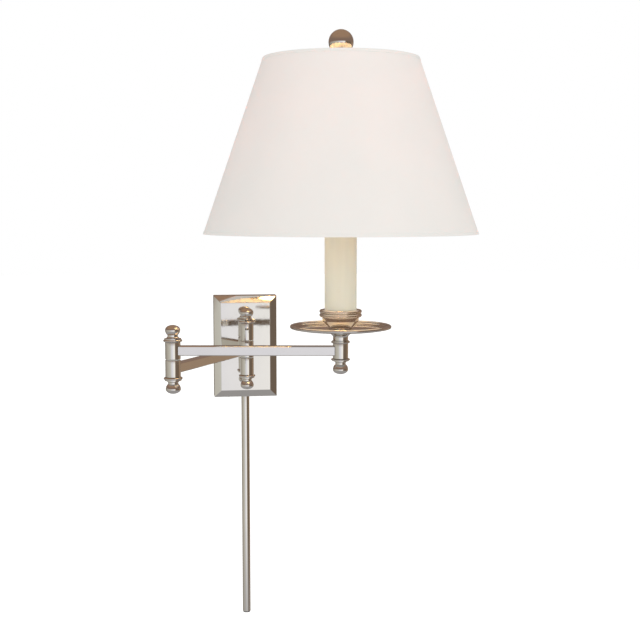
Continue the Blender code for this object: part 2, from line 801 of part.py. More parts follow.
def riser_tube(parent):
    """Threaded tube through the last knuckle, the dish and the candle, up to the socket."""
    bottom = HEAD_FINIAL_BASE - PIN_IN_FINIAL
    outline = ring_outline(RISER_RADIUS, RISER_BORE, bottom, RISER_TOP, 0.4 * MM)
    return turned("riser_tube", outline, True, SMALL_STEPS, steel("riser_tube"), parent)


def stem(parent):
    """Spacer on the last knuckle's collar, flared to carry the dish."""
    bottom = CANDLE_KNUCKLE_TOP + GAP + HEAD_COLLAR_HEIGHT + GAP
    top = DISH_BOTTOM - GAP
    edge = 0.6 * MM
    outline = [
        (STEM_FLARE, top),
        (STEM_FLARE, top - edge),
        (0.7 * STEM_FLARE, top - 2.2 * MM),
        (0.45 * STEM_FLARE, top - 4.6 * MM),
        (STEM_RADIUS + 1.2 * MM, top - 7.2 * MM),
        (STEM_RADIUS, top - 8.8 * MM),
        (STEM_RADIUS, bottom + edge),
        (STEM_RADIUS - edge, bottom),
        (RISER_CLEAR, bottom),
        (RISER_CLEAR, top),
    ]
    return turned("dish_stem", outline, True, MEDIUM_STEPS, nickel("dish_stem"), parent)


def drip_dish(parent):
    """Shallow round dish under the candle, with a rolled rim."""
    rim = DISH_RADIUS - DISH_ROLL
    outline = [
        *arc(rim, DISH_RIM - DISH_ROLL, DISH_ROLL, DISH_ROLL, 150, -90, 6),
        (rim - 4 * MM, DISH_BOTTOM + 0.7 * MM),
        (DISH_WELL, DISH_BOTTOM),
        (RISER_CLEAR, DISH_BOTTOM),
        (RISER_CLEAR, DISH_FLOOR),
        (DISH_WELL - 1 * MM, DISH_FLOOR),
        (rim - 5 * MM, DISH_FLOOR + 1 * MM),
    ]
    return turned("drip_dish", outline, True, LARGE_STEPS, nickel("drip_dish"), parent)


def candle_cup(parent):
    """Tapered cup with a double-bead lip that holds the candle's foot."""
    bead = (CUP_TOP - CUP_WAIST) / 4
    chamfer = 0.6 * MM
    outline = [
        *arc(CUP_LIP - bead, CUP_TOP - bead, bead, bead, 90, -90, 3),
        *arc(CUP_LIP - bead, CUP_TOP - 3 * bead, bead, bead, 90, -90, 3)[1:],
        (CUP_NECK, CUP_WAIST - 1 * MM),
        (CUP_NECK, CUP_FLOOR - 1 * MM),
        (CUP_FOOT_RADIUS, CUP_FOOT + 1.4 * MM),
        (CUP_FOOT_RADIUS, CUP_FOOT),
        (RISER_CLEAR, CUP_FOOT),
        (RISER_CLEAR, CUP_FLOOR),
        (CUP_BORE, CUP_FLOOR),
        (CUP_BORE, CUP_TOP - chamfer),
        (CUP_BORE + chamfer, CUP_TOP),
    ]
    return turned("candle_cup", outline, True, MEDIUM_STEPS, nickel("candle_cup"), parent)


def candle_sleeve(parent):
    """Ivory tube over the riser."""
    outline = ring_outline(
        SLEEVE_RADIUS, SLEEVE_RADIUS - SLEEVE_WALL, CUP_FLOOR + GAP, SLEEVE_TOP, 0.3 * MM
    )
    return turned("candle_sleeve", outline, True, MEDIUM_STEPS, ivory("candle_sleeve"), parent)


def harp_saddle(parent):
    """Flat strap under the socket, with turned-up lugs for the harp."""
    lug_top = SADDLE_Z + SADDLE_LUG
    inner = SADDLE_HALF - SADDLE_SHEET
    corners = [
        (-SADDLE_HALF, SADDLE_Z),
        (SADDLE_HALF, SADDLE_Z),
        (SADDLE_HALF, lug_top),
        (inner, lug_top),
        (inner, SADDLE_Z + SADDLE_SHEET),
        (-inner, SADDLE_Z + SADDLE_SHEET),
        (-inner, lug_top),
        (-SADDLE_HALF, lug_top),
    ]
    saddle = flat_outline("harp_saddle", corners, SADDLE_WIDTH, brass("harp_saddle"), parent)
    saddle.data.transform(Matrix.Rotation(math.radians(90), 4, "X"))
    hole = round_bar("saddle_hole", RISER_CLEAR, 8 * MM, ALONG_Z, (0, 0, SADDLE_Z), parent)
    return join_or_cut(saddle, "DIFFERENCE", hole)


def harp(parent):
    """Wire loop from the saddle's lugs round the bulb to the shade's seat."""
    foot_z = SADDLE_Z + SADDLE_LUG + GAP
    foot_x = SADDLE_HALF - SADDLE_SHEET / 2
    straight = HARP_STRAIGHT
    side = [(foot_x, foot_z), (foot_x, foot_z + straight / 2), (foot_x, foot_z + straight)]
    flare_steps = 5
    for index in range(1, flare_steps):
        share = index / flare_steps
        eased = share * share * (3 - 2 * share)
        height = foot_z + straight + (HARP_BELLY - foot_z - straight) * share
        side.append((foot_x + (HARP_HALF - foot_x) * eased, height))
    crown = arc(0, HARP_BELLY, HARP_HALF, HARP_TOP - HARP_BELLY, 0, 90, 6)
    half = side + crown
    points = [(x, 0, z) for x, z in half] + [(-x, 0, z) for x, z in reversed(half[:-1])]
    return wire("harp", points, HARP_WIRE, brass("harp"), parent)


def socket_cap(parent):
    """Lower brass cup of the lampholder."""
    wall = SOCKET_CAP_WALL
    hub = SOCKET_CAP_HUB
    outline = [
        (SOCKET_RADIUS - wall, SOCKET_SEAM),
        (SOCKET_RADIUS, SOCKET_SEAM),
        (SOCKET_RADIUS, SOCKET_SEAM - 8 * MM),
        (hub, SOCKET_BASE + 3 * MM),
        (hub, SOCKET_BASE),
        (RISER_CLEAR, SOCKET_BASE),
        (RISER_CLEAR, SOCKET_BASE + 3.6 * MM),
        (hub - wall, SOCKET_BASE + 4.4 * MM),
        (SOCKET_RADIUS - wall, SOCKET_SEAM - 7.4 * MM),
    ]
    return turned("socket_cap", outline, True, MEDIUM_STEPS, brass("socket_cap"), parent)


def socket_shell(parent):
    """Upper brass cup of the lampholder."""
    outline = ring_outline(SOCKET_RADIUS, SOCKET_RADIUS - 1 * MM, SOCKET_SEAM + GAP, SOCKET_TOP, 0.3 * MM)
    return turned("socket_shell", outline, True, MEDIUM_STEPS, brass("socket_shell"), parent)


def socket_base(parent):
    """Insulating block in the bottom of the lampholder, with its wire way."""
    bottom = SOCKET_SEAM - PHENOLIC_HALF
    outline = ring_outline(SOCKET_RADIUS - 1.6 * MM, 2.4 * MM, bottom, bottom + 2 * PHENOLIC_HALF)
    return turned("socket_base", outline, True, SMALL_STEPS, phenolic("socket_base"), parent)


def screw_shell(parent):
    """Threaded shell that takes the bulb's base."""
    inner = BULB_BASE_RADIUS + GAP
    outline = ring_outline(inner + 0.8 * MM, inner, CONTACT_BASE, SOCKET_TOP - 6 * MM)
    return turned("socket_screw_shell", outline, True, SMALL_STEPS, brass("socket_screw_shell"), parent)


def centre_contact(parent):
    """Spring contact at the bottom of the lampholder."""
    outline = rod_outline(3.4 * MM, CONTACT_BASE, CONTACT_BASE + 1.8 * MM, 0.5 * MM)
    return turned("socket_contact", outline, False, SMALL_STEPS, brass("socket_contact"), parent)


def bulb_base(parent):
    """Screw base of the bulb, with its tip contact."""
    tip = 3 * MM
    outline = [
        (0, BULB_BASE_TOP),
        (BULB_BASE_RADIUS, BULB_BASE_TOP),
        (BULB_BASE_RADIUS, BULB_BASE_BOTTOM + 4 * MM),
        (tip * 2, BULB_BASE_BOTTOM + 1 * MM),
        (tip, BULB_BASE_BOTTOM - 1.5 * MM),
        (0, BULB_BASE_BOTTOM - 2 * MM),
    ]
    material = finish("bulb_base_nickel", (0.72, 0.70, 0.66), 0.3, 1)
    return turned("bulb_base", outline, False, SMALL_STEPS, material, parent)


def bulb_glass(parent):
    """Pear-shaped glass, open at the neck where the base closes it."""
    neck = BULB_BASE_RADIUS - 0.4 * MM
    bottom = BULB_BASE_TOP + GAP
    throat_angle = -58
    outside = arc(0, BULB_CENTRE, BULB_RADIUS, BULB_RADIUS, 90, throat_angle, 8)
    shoulder_r, shoulder_z = outside[-1]
    outside += [
        (neck + 0.35 * (shoulder_r - neck), bottom + 0.55 * (shoulder_z - bottom)),
        (neck, bottom),
    ]
    inside = [(radius - BULB_WALL, height) for radius, height in reversed(outside[1:])]
    inside += [(0, BULB_CENTRE + BULB_RADIUS - BULB_WALL)]
    outline = [(0, BULB_CENTRE + BULB_RADIUS)] + outside[1:] + inside
    return turned("bulb_glass", outline, False, MEDIUM_STEPS, clear_glass("bulb_glass"), parent)


def head_lead(parent):
    """Lead up the riser to the lampholder."""
    start = HEAD_FINIAL_BASE + 4 * MM
    end = SOCKET_SEAM - 8 * MM
    points = []
    for index in range(HEAD_LEAD_SPANS + 1):
        points.append((0, 0, start + (end - start) * index / HEAD_LEAD_SPANS))
    return wire("head_lead", points, LEAD_RADIUS, insulation("head_lead"), parent)


def harp_stud(parent):
    """Threaded stud on top of the harp that the shade and the ball finial seat on."""
    top = BALL_CENTRE - 6 * MM
    outline = [
        (0, top),
        (STUD_RADIUS, top),
        (STUD_RADIUS, STUD_BASE + STUD_FLANGE),
        (STUD_FLANGE_RADIUS, STUD_BASE + STUD_FLANGE),
        (STUD_FLANGE_RADIUS, STUD_BASE),
        (0, STUD_BASE),
    ]
    return turned("harp_stud", outline, False, SMALL_STEPS, brass("harp_stud"), parent)


def wire_ring(name, radius, height, material, parent, collection=COLLECTION):
    """A round wire ring, turned from a small circle."""
    circle = arc(radius, height, RING_WIRE, RING_WIRE, 90, -270, 6)[:-1]
    return turned(name, circle, True, LARGE_STEPS, material, parent, collection=collection)


def shade_spider(parent):
    """Three arms and a hub, welded to the shade's top ring."""
    material = nickel("shade_spider")
    hub = turned(
        "shade_spider",
        ring_outline(HUB_RADIUS, STUD_RADIUS + GAP, HUB_Z, HUB_Z + HUB_HEIGHT),
        True,
        SMALL_STEPS,
        material,
        parent,
    )
    start = Vector((HUB_RADIUS - 1.5 * MM, 0, HUB_Z + HUB_HEIGHT / 2))
    end = Vector((TOP_RING_RADIUS, 0, TOP_RING_Z))
    along = end - start
    for index in range(3):
        name = f"spider_arm_{index}"
        arm = round_bar(name, RING_WIRE * 0.9, along.length, ALONG_Z, (0, 0, 0), parent, sides=8)
        spin = Matrix.Rotation(math.tau * (index / 3 + 1 / 12), 4, "Z")
        lean = along.to_track_quat("Z", "Y").to_matrix().to_4x4()
        arm.data.transform(spin @ Matrix.Translation((start + end) / 2) @ lean)
        join_or_cut(hub, "UNION", arm)
    ring = wire_ring("spider_ring", TOP_RING_RADIUS, TOP_RING_Z, None, parent, CUTTERS)
    join_or_cut(hub, "UNION", ring)
    return hub


def shade(parent):
    """Straight-sided paper shade, open at both ends."""
    middle = (SHADE_TOP + SHADE_BOTTOM) / 2
    middle_radius = (SHADE_TOP_RADIUS + SHADE_BOTTOM_RADIUS) / 2
    outline = [
        (SHADE_TOP_RADIUS, SHADE_TOP),
        (middle_radius, middle),
        (SHADE_BOTTOM_RADIUS, SHADE_BOTTOM),
        (SHADE_BOTTOM_RADIUS - SHADE_WALL, SHADE_BOTTOM),
        (middle_radius - SHADE_WALL, middle),
        (SHADE_TOP_RADIUS - SHADE_WALL, SHADE_TOP),
    ]
    return turned("shade", outline, True, LARGE_STEPS, shade_paper("shade"), parent)


def ball_finial(parent):
    """Polished ball on a short neck that clamps the shade down."""
    neck = 5 * MM
    foot = 7.5 * MM
    base = HUB_Z + HUB_HEIGHT + GAP
    neck_angle = -math.degrees(math.acos(neck / BALL_RADIUS))
    sphere = arc(0, BALL_CENTRE, BALL_RADIUS, BALL_RADIUS, 90, neck_angle, 9)
    bore = STUD_RADIUS + GAP
    bore_top = BALL_CENTRE - 5 * MM
    outline = [
        (0, BALL_CENTRE + BALL_RADIUS),
        *sphere[1:],
        (neck, base + 3.2 * MM),
        (foot, base + 2 * MM),
        (foot, base),
        (bore, base),
        (bore, bore_top),
        (0, bore_top),
    ]
    return turned("ball_finial", outline, False, MEDIUM_STEPS, nickel("ball_finial"), parent)


# ---------------------------------------------------------------- assembly


def build_wall_side():
    """Everything that stays still on the wall."""
    wall_bracket()
    backplate()
    for side, word in ((-1, "left"), (1, "right")):
        backplate_screw(side, f"backplate_screw_{word}")
        wire_connector(side, f"wire_connector_{word}")
    yoke()
    yoke_nipple()
    nipple_washer()
    nipple_nut()
    plate_lead(-1, "neutral_lead")
    plate_lead(1, "live_lead")
    ground_screw()
    cord_cover()
    cover_locknut()
    cover_bushing()
    wall_pin()
    place = (0, PIVOT_Y, 0)
    washer("wall_upper_washer", WALL_KNUCKLE / 2, None, place)
    washer("wall_lower_washer", -WALL_KNUCKLE / 2 - KNUCKLE_GAP, None, place)
    collar("wall_top_collar", YOKE_TOP + GAP, COLLAR_HEIGHT, PIN_BORE, None, place)
    collar("wall_bottom_collar", -YOKE_TOP - GAP - COLLAR_HEIGHT, COLLAR_HEIGHT, PIN_BORE, None, place)
    base = YOKE_TOP + 2 * GAP + COLLAR_HEIGHT
    finial("wall_top_finial", base, True, PIN_BORE, None, place[:2])
    finial("wall_bottom_finial", -base, False, PIN_BORE, None, place[:2])


def build_lower_arm(axis):
    """First bar, its two knuckles and the elbow's pin and caps."""
    elbow = (0, -ARM_LENGTH, 0)
    knuckle("wall_middle_knuckle", -WALL_KNUCKLE / 2, WALL_KNUCKLE, PIN_BORE, axis, (0, 0, 0))
    bar("lower_arm_bar", LOWER_ARM_Z, axis)
    bar_lead("lower_arm_lead", LOWER_ARM_Z, axis)
    bottom = LOWER_ARM_Z - ELBOW_KNUCKLE / 2
    top = UPPER_ARM_Z + ELBOW_KNUCKLE / 2
    knuckle("elbow_lower_knuckle", bottom, ELBOW_KNUCKLE, PIN_BORE, axis, elbow)
    washer("elbow_washer", bottom + ELBOW_KNUCKLE, axis, elbow)
    collar("elbow_bottom_collar", bottom - GAP - COLLAR_HEIGHT, COLLAR_HEIGHT, PIN_BORE, axis, elbow)
    collar("elbow_top_collar", top + GAP, COLLAR_HEIGHT, PIN_BORE, axis, elbow)
    reach = 2 * GAP + COLLAR_HEIGHT
    finial("elbow_bottom_finial", bottom - reach, False, PIN_BORE, axis, elbow[:2])
    finial("elbow_top_finial", top + reach, True, PIN_BORE, axis, elbow[:2])
    outline = rod_outline(PIN_RADIUS, bottom - reach - PIN_IN_FINIAL, top + reach + PIN_IN_FINIAL, 0.5 * MM)
    turned("elbow_pin", outline, False, SMALL_STEPS, steel("elbow_pin"), axis, elbow)


def build_upper_arm(axis):
    """Second bar and its two knuckles."""
    knuckle(
        "elbow_upper_knuckle", UPPER_ARM_Z - ELBOW_KNUCKLE / 2, ELBOW_KNUCKLE, PIN_BORE, axis, (0, 0, 0)
    )
    bar("upper_arm_bar", UPPER_ARM_Z, axis)
    bar_lead("upper_arm_lead", UPPER_ARM_Z, axis)
    knuckle("candle_knuckle", CANDLE_KNUCKLE_BOTTOM, CANDLE_KNUCKLE, RISER_CLEAR, axis, (0, -ARM_LENGTH, 0))


def build_head(axis):
    """Riser, candle, lampholder, harp and shade."""
    riser_tube(axis)
    head_lead(axis)
    collar(
        "head_bottom_collar",
        CANDLE_KNUCKLE_BOTTOM - GAP - HEAD_COLLAR_HEIGHT,
        HEAD_COLLAR_HEIGHT,
        RISER_CLEAR,
        axis,
        (0, 0, 0),
    )
    collar("head_top_collar", CANDLE_KNUCKLE_TOP + GAP, HEAD_COLLAR_HEIGHT, RISER_CLEAR, axis, (0, 0, 0))
    finial("head_finial", HEAD_FINIAL_BASE, False, RISER_CLEAR, axis, (0, 0))
    for make in (
        stem, drip_dish, candle_cup, candle_sleeve, harp_saddle, harp, socket_cap, socket_shell,
        socket_base, screw_shell, centre_contact, bulb_base, bulb_glass, harp_stud, shade_spider,
        shade, ball_finial,
    ):
        make(axis)
    wire_ring("shade_bottom_ring", BOTTOM_RING_RADIUS, BOTTOM_RING_Z, steel("shade_bottom_ring"), axis)


def main():
    """Build the lamp at rest, each body under the empty on its own axis."""
    clear_scene()
    build_wall_side()
    wall_axis = axis_empty("wall_axis", None, (0, PIVOT_Y, 0), REST_LOWER)
    build_lower_arm(wall_axis)
    elbow_axis = axis_empty("elbow_axis", wall_axis, (0, -ARM_LENGTH, 0), REST_UPPER - REST_LOWER)
    build_upper_arm(elbow_axis)
    head_axis = axis_empty("head_axis", elbow_axis, (0, -ARM_LENGTH, 0), -REST_UPPER)
    build_head(head_axis)


main()
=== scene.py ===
"""Swing arm wall sconce in polished nickel, with an ivory candle and a white paper shade.

Run as a script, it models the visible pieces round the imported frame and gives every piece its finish.
Units are metres, +Z up; the wall is the plane Y = 0 and the lamp stands in front of it at negative Y.
"""

import json
import math

import bpy
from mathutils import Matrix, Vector


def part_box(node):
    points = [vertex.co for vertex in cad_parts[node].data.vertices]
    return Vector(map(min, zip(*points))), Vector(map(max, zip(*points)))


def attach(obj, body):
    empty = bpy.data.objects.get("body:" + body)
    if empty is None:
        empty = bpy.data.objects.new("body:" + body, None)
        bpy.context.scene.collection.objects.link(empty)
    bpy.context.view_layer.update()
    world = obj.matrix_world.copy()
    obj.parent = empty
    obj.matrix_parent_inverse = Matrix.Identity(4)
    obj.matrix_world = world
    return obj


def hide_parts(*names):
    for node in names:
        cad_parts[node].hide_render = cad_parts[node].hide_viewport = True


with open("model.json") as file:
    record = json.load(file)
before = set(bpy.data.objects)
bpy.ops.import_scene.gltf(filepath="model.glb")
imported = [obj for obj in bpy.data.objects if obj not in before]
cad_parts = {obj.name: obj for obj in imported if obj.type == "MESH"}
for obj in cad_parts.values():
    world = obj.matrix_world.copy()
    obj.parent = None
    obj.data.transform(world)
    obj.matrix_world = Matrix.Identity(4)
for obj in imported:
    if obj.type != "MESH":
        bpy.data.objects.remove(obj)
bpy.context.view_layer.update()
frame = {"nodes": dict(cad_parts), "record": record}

bl_info = {
    "name": "Swing Arm Wall Sconce",
    "version": (1, 0, 0),
    "blender": (4, 5, 0),
    "location": "3D View > Sidebar > Sconce",
    "description": "Models and finishes the pieces of a swing arm wall sconce round its frame",
    "category": "Object",
}

MM = 0.001
GAP = 0.3 * MM

# How many steps a turned piece has, by its size.
SMALL = 48
FINE = 96
BROAD = 160

# Bores, walls and wires that the frame's boxes don't show.
PIN_BORE = 4.3 * MM
RISER_CLEAR = 5.1 * MM
SCREW_CLEAR = 1.9 * MM
PLATE_WALL = 1.5 * MM
DISH_WALL = 1.6 * MM
SHADE_WIRE = 1.5 * MM
STUD_CLEAR = 3.3 * MM


def corners(node):
    """Lowest and highest corner of a frame node."""
    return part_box(node)


def axis_of(node):
    """X and Y of the upright axis through a frame node."""
    low, high = corners(node)
    return ((low.x + high.x) / 2, (low.y + high.y) / 2)


def span_of(node):
    """Lowest and highest Z of a frame node."""
    low, high = corners(node)
    return (low.z, high.z)


def half_width(node):
    """Half of a round node's width, which is its outside radius."""
    low, high = corners(node)
    return max(high.x - low.x, high.y - low.y) / 2


WALL_AXIS = axis_of("wall_pin")
ELBOW_AXIS = axis_of("elbow_pin")
HEAD_AXIS = axis_of("riser_tube")
KNUCKLE_RADIUS = half_width("wall_middle_knuckle")


# ---------------------------------------------------------------- settings


class SconceSizes(bpy.types.PropertyGroup):
    """Small sizes of the modelled pieces."""

    edge: bpy.props.FloatProperty(
        name="Edge softness",
        description="Radius on the corners of turned pieces",
        default=0.45 * MM,
        subtype="DISTANCE",
        unit="LENGTH",
    )
    plate_edge: bpy.props.FloatProperty(
        name="Plate edge",
        description="Radius along the backplate's corners and bevels",
        default=0.35 * MM,
        subtype="DISTANCE",
        unit="LENGTH",
    )
    hem_height: bpy.props.FloatProperty(
        name="Hem height",
        description="Height of the folded paper at the shade's two edges",
        default=3.2 * MM,
        subtype="DISTANCE",
        unit="LENGTH",
    )
    hem_step: bpy.props.FloatProperty(
        name="Hem step",
        description="How far the folded paper stands proud of the shade",
        default=0.35 * MM,
        subtype="DISTANCE",
        unit="LENGTH",
    )
    paper: bpy.props.FloatProperty(
        name="Paper thickness",
        description="Thickness of the laminated paper",
        default=0.9 * MM,
        subtype="DISTANCE",
        unit="LENGTH",
    )
    thread_depth: bpy.props.FloatProperty(
        name="Thread depth",
        description="Depth of the rolled thread on the bulb's cap",
        default=0.6 * MM,
        subtype="DISTANCE",
        unit="LENGTH",
    )


class SconceColours(bpy.types.PropertyGroup):
    """Colours of the finishes and of the lamp's light."""

    nickel: bpy.props.FloatVectorProperty(
        name="Nickel",
        description="Colour of the polished nickel",
        default=(0.82, 0.80, 0.765),
        size=3,
        min=0,
        max=1,
        subtype="COLOR",
    )
    paper: bpy.props.FloatVectorProperty(
        name="Shade paper",
        description="Colour of the shade's paper",
        default=(0.825, 0.86, 0.835),
        size=3,
        min=0,
        max=1,
        subtype="COLOR",
    )
    ivory: bpy.props.FloatVectorProperty(
        name="Candle ivory",
        description="Colour of the candle sleeve",
        default=(0.76, 0.75, 0.64),
        size=3,
        min=0,
        max=1,
        subtype="COLOR",
    )
    glow: bpy.props.FloatVectorProperty(
        name="Bulb glow",
        description="Colour of the lit bulb",
        default=(1.0, 0.58, 0.20),
        size=3,
        min=0,
        max=1,
        subtype="COLOR",
    )
    glow_strength: bpy.props.FloatProperty(
        name="Bulb strength",
        description="How brightly the bulb shines",
        default=12.0,
        min=0,
    )


# ---------------------------------------------------------------- modelling


def deselect():
    """Leave nothing selected, in object mode."""
    active = bpy.context.view_layer.objects.active
    if active is not None and active.mode != "OBJECT":
        bpy.ops.object.mode_set(mode="OBJECT")
    bpy.ops.object.select_all(action="DESELECT")


def choose(piece):
    """Make one piece the only selected and active one."""
    deselect()
    piece.select_set(True)
    bpy.context.view_layer.objects.active = piece


def settle(piece, name, smooth=30):
    """Apply a piece's place, name it and shade its rounds smooth."""
    choose(piece)
    bpy.ops.object.transform_apply(location=True, rotation=True, scale=True)
    piece.name = name
    piece.data.name = name
    bpy.ops.object.shade_smooth_by_angle(angle=math.radians(smooth))
    return piece


def weld():
    """Merge the edited piece's doubled points and face it outwards, then leave edit mode."""
    bpy.ops.mesh.select_all(action="SELECT")
    bpy.ops.mesh.remove_doubles(threshold=0.001 * MM)
    bpy.ops.mesh.normals_make_consistent(inside=False)
    bpy.ops.object.mode_set(mode="OBJECT")


def place_piece(piece, body, slot, material, *nodes):
    """Give a piece its body, finish and the frame nodes it stands for; the slot argument is not used."""
    piece.data.materials.clear()
    piece.data.materials.append(material)
    if nodes:
        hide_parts(*nodes)
    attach(piece, body)
    return piece


def arc(centre_r, centre_z, radius_r, radius_z, start, end, count):
    """Points of an elliptical arc in an outline, from start to end in degrees."""
    points = []
    for index in range(count + 1):
        angle = math.radians(start + (end - start) * index / count)
        points.append((centre_r + radius_r * math.cos(angle), centre_z + radius_z * math.sin(angle)))
    return points


def softened(outline, radius, closed=False, spans=3):
    """The outline with each corner rounded off by a short curve."""
    count = len(outline)
    result = []
    for index, corner in enumerate(outline):
        if not closed and index in (0, count - 1):
            result.append(corner)
            continue
        here = Vector(corner)
        before = Vector(outline[index - 1]) - here
        after = Vector(outline[(index + 1) % count]) - here
        reach = min(radius, before.length * 0.45, after.length * 0.45)
        start = here + before.normalized() * reach
        end = here + after.normalized() * reach
        for step in range(spans + 1):
            t = step / spans
            point = start * (1 - t) ** 2 + here * 2 * t * (1 - t) + end * t ** 2
            result.append((point.x, point.y))
    return result


def lathe(name, axis, outline, steps=FINE, closed=False, smooth=30):
    """Draw an outline by extruding a point from place to place, then spin it round an upright axis."""
    deselect()
    here_r, here_z = outline[0]
    bpy.ops.mesh.primitive_plane_add(size=MM, location=(axis[0] + here_r, axis[1], here_z))
    piece = bpy.context.object
    bpy.ops.object.mode_set(mode="EDIT")
    bpy.ops.mesh.select_mode(type="VERT")
    bpy.ops.mesh.merge(type="CENTER")
    path = outline[1:] + outline[:1] if closed else outline[1:]
    for radius, height in path:
        step = (radius - here_r, 0, height - here_z)
        bpy.ops.mesh.extrude_region_move(TRANSFORM_OT_translate={"value": step})
        here_r, here_z = radius, height
    bpy.ops.mesh.select_all(action="SELECT")
    bpy.ops.mesh.spin(steps=steps, angle=math.tau, center=(axis[0], axis[1], 0), axis=(0, 0, 1))
    weld()
    return settle(piece, name, smooth)


def cube(name, low, high):
    """A block between two corners."""
    deselect()
    size = [high[i] - low[i] for i in range(3)]
    centre = [(high[i] + low[i]) / 2 for i in range(3)]
    bpy.ops.mesh.primitive_cube_add(size=1, location=centre, scale=size)
    piece = bpy.context.object
    piece.name = name
    bpy.ops.object.transform_apply(location=True, rotation=True, scale=True)
    return piece


def rod(name, start, end, radius, sides=SMALL):
    """A round bar between two points."""
    deselect()
    start, end = Vector(start), Vector(end)
    along = end - start
    turn = along.to_track_quat("Z", "Y").to_euler()
    bpy.ops.mesh.primitive_cylinder_add(
        vertices=sides, radius=radius, depth=along.length, location=(start + end) / 2, rotation=turn
    )
    piece = bpy.context.object
    piece.name = name
    bpy.ops.object.transform_apply(location=True, rotation=True, scale=True)
    return piece


def combine(target, tool, operation):
    """Join or cut a piece by another, which is used up."""
    choose(target)
    boolean = target.modifiers.new("combine", "BOOLEAN")
    boolean.operation = operation
    boolean.solver = "EXACT"
    boolean.object = tool
    bpy.ops.object.modifier_apply(modifier=boolean.name)
    bpy.data.objects.remove(tool, do_unlink=True)
    return target


def round_edges(piece, width, segments=3, angle=30):
    """Round a piece's sharp edges with an applied Bevel."""
    choose(piece)
    bevel = piece.modifiers.new("edges", "BEVEL")
    bevel.width = width
    bevel.segments = segments
    bevel.limit_method = "ANGLE"
    bevel.angle_limit = math.radians(angle)
    bpy.ops.object.modifier_apply(modifier=bevel.name)
    return piece


# ---------------------------------------------------------------- finishes


def new_finish(name):
    """A material, its node tree and its Principled shader."""
    material = bpy.data.materials.new(name)
    material.use_nodes = True
    return material, material.node_tree, material.node_tree.nodes["Principled BSDF"]


def object_noise(tree, scale, detail, stretch=(1, 1, 1)):
    """Noise over the piece's own coordinates."""
    where = tree.nodes.new("ShaderNodeTexCoord")
    mapping = tree.nodes.new("ShaderNodeMapping")
    mapping.inputs["Scale"].default_value = stretch
    noise = tree.nodes.new("ShaderNodeTexNoise")
    noise.inputs["Scale"].default_value = scale
    noise.inputs["Detail"].default_value = detail
    tree.links.new(where.outputs["Object"], mapping.inputs["Vector"])
    tree.links.new(mapping.outputs["Vector"], noise.inputs["Vector"])
    return noise.outputs["Fac"]


def spread(tree, value, low, high, start=0.3, end=0.7):
    """Map a noise value on to a range."""
    ranged = tree.nodes.new("ShaderNodeMapRange")
    ranged.inputs["From Min"].default_value = start
    ranged.inputs["From Max"].default_value = end
    ranged.inputs["To Min"].default_value = low
    ranged.inputs["To Max"].default_value = high
    tree.links.new(value, ranged.inputs["Value"])
    return ranged.outputs["Result"]


def two_tones(tree, value, dark, light):
    """A colour that goes from dark to light with a value."""
    ramp = tree.nodes.new("ShaderNodeValToRGB")
    ramp.color_ramp.elements[0].position = 0.3
    ramp.color_ramp.elements[0].color = (*dark, 1)
    ramp.color_ramp.elements[1].position = 0.7
    ramp.color_ramp.elements[1].color = (*light, 1)
    tree.links.new(value, ramp.inputs["Fac"])
    return ramp.outputs["Color"]


def bump(tree, value, strength, distance):
    """A normal from a height value."""
    node = tree.nodes.new("ShaderNodeBump")
    node.inputs["Strength"].default_value = strength
    node.inputs["Distance"].default_value = distance
    tree.links.new(value, node.inputs["Height"])
    return node.outputs["Normal"]


def toned(colour, factor):
    """A colour made darker or lighter."""
    return tuple(min(1, channel * factor) for channel in colour)


def metal(name, colour, rough_low, rough_high, grain, relief, contrast=0.95):
    """Metal with a faint cloudiness, uneven polish and a fine grain."""
    material, tree, shader = new_finish(name)
    shader.inputs["Metallic"].default_value = 1
    cloud = object_noise(tree, 35, 3)
    tree.links.new(two_tones(tree, cloud, toned(colour, contrast), colour), shader.inputs["Base Color"])
    wear = object_noise(tree, 160, 4)
    tree.links.new(spread(tree, wear, rough_low, rough_high), shader.inputs["Roughness"])
    fine = object_noise(tree, grain, 2)
    tree.links.new(bump(tree, fine, relief, 0.02 * MM), shader.inputs["Normal"])
    return material


def plain(name, colour, rough_low, rough_high, grain, relief, contrast=0.9, coat=0.0):
    """Moulded or coated material with faint mottling and an orange-peel grain."""
    material, tree, shader = new_finish(name)
    shader.inputs["Coat Weight"].default_value = coat
    cloud = object_noise(tree, 60, 3)
    tree.links.new(two_tones(tree, cloud, toned(colour, contrast), colour), shader.inputs["Base Color"])
    wear = object_noise(tree, 220, 3)
    tree.links.new(spread(tree, wear, rough_low, rough_high), shader.inputs["Roughness"])
    tree.links.new(bump(tree, object_noise(tree, grain, 3), relief, 0.05 * MM), shader.inputs["Normal"])
    return material


def paper_finish():
    """Smooth laminated paper: faint fibres, and a little of the bulb's light comes through."""
    colours = bpy.context.scene.sconce_colours
    material, tree, shader = new_finish("shade_paper")
    colour = tuple(colours.paper)
    fibres = object_noise(tree, 240, 6, (1, 1, 0.35))
    cloud = object_noise(tree, 14, 3)
    tint = two_tones(tree, cloud, toned(colour, 0.985), colour)
    tree.links.new(tint, shader.inputs["Base Color"])
    tree.links.new(spread(tree, fibres, 0.62, 0.78), shader.inputs["Roughness"])
    shader.inputs["Specular IOR Level"].default_value = 0.25
    relief = bump(tree, fibres, 0.18, 0.06 * MM)
    tree.links.new(relief, shader.inputs["Normal"])
    through = tree.nodes.new("ShaderNodeBsdfTranslucent")
    warm = two_tones(tree, cloud, (0.92, 0.40, 0.28), (1.0, 0.44, 0.30))
    tree.links.new(warm, through.inputs["Color"])
    mix = tree.nodes.new("ShaderNodeMixShader")
    mix.inputs["Fac"].default_value = 0.17
    tree.links.new(shader.outputs["BSDF"], mix.inputs[1])
    tree.links.new(through.outputs["BSDF"], mix.inputs[2])
    tree.links.new(mix.outputs["Shader"], tree.nodes["Material Output"].inputs["Surface"])
    return material


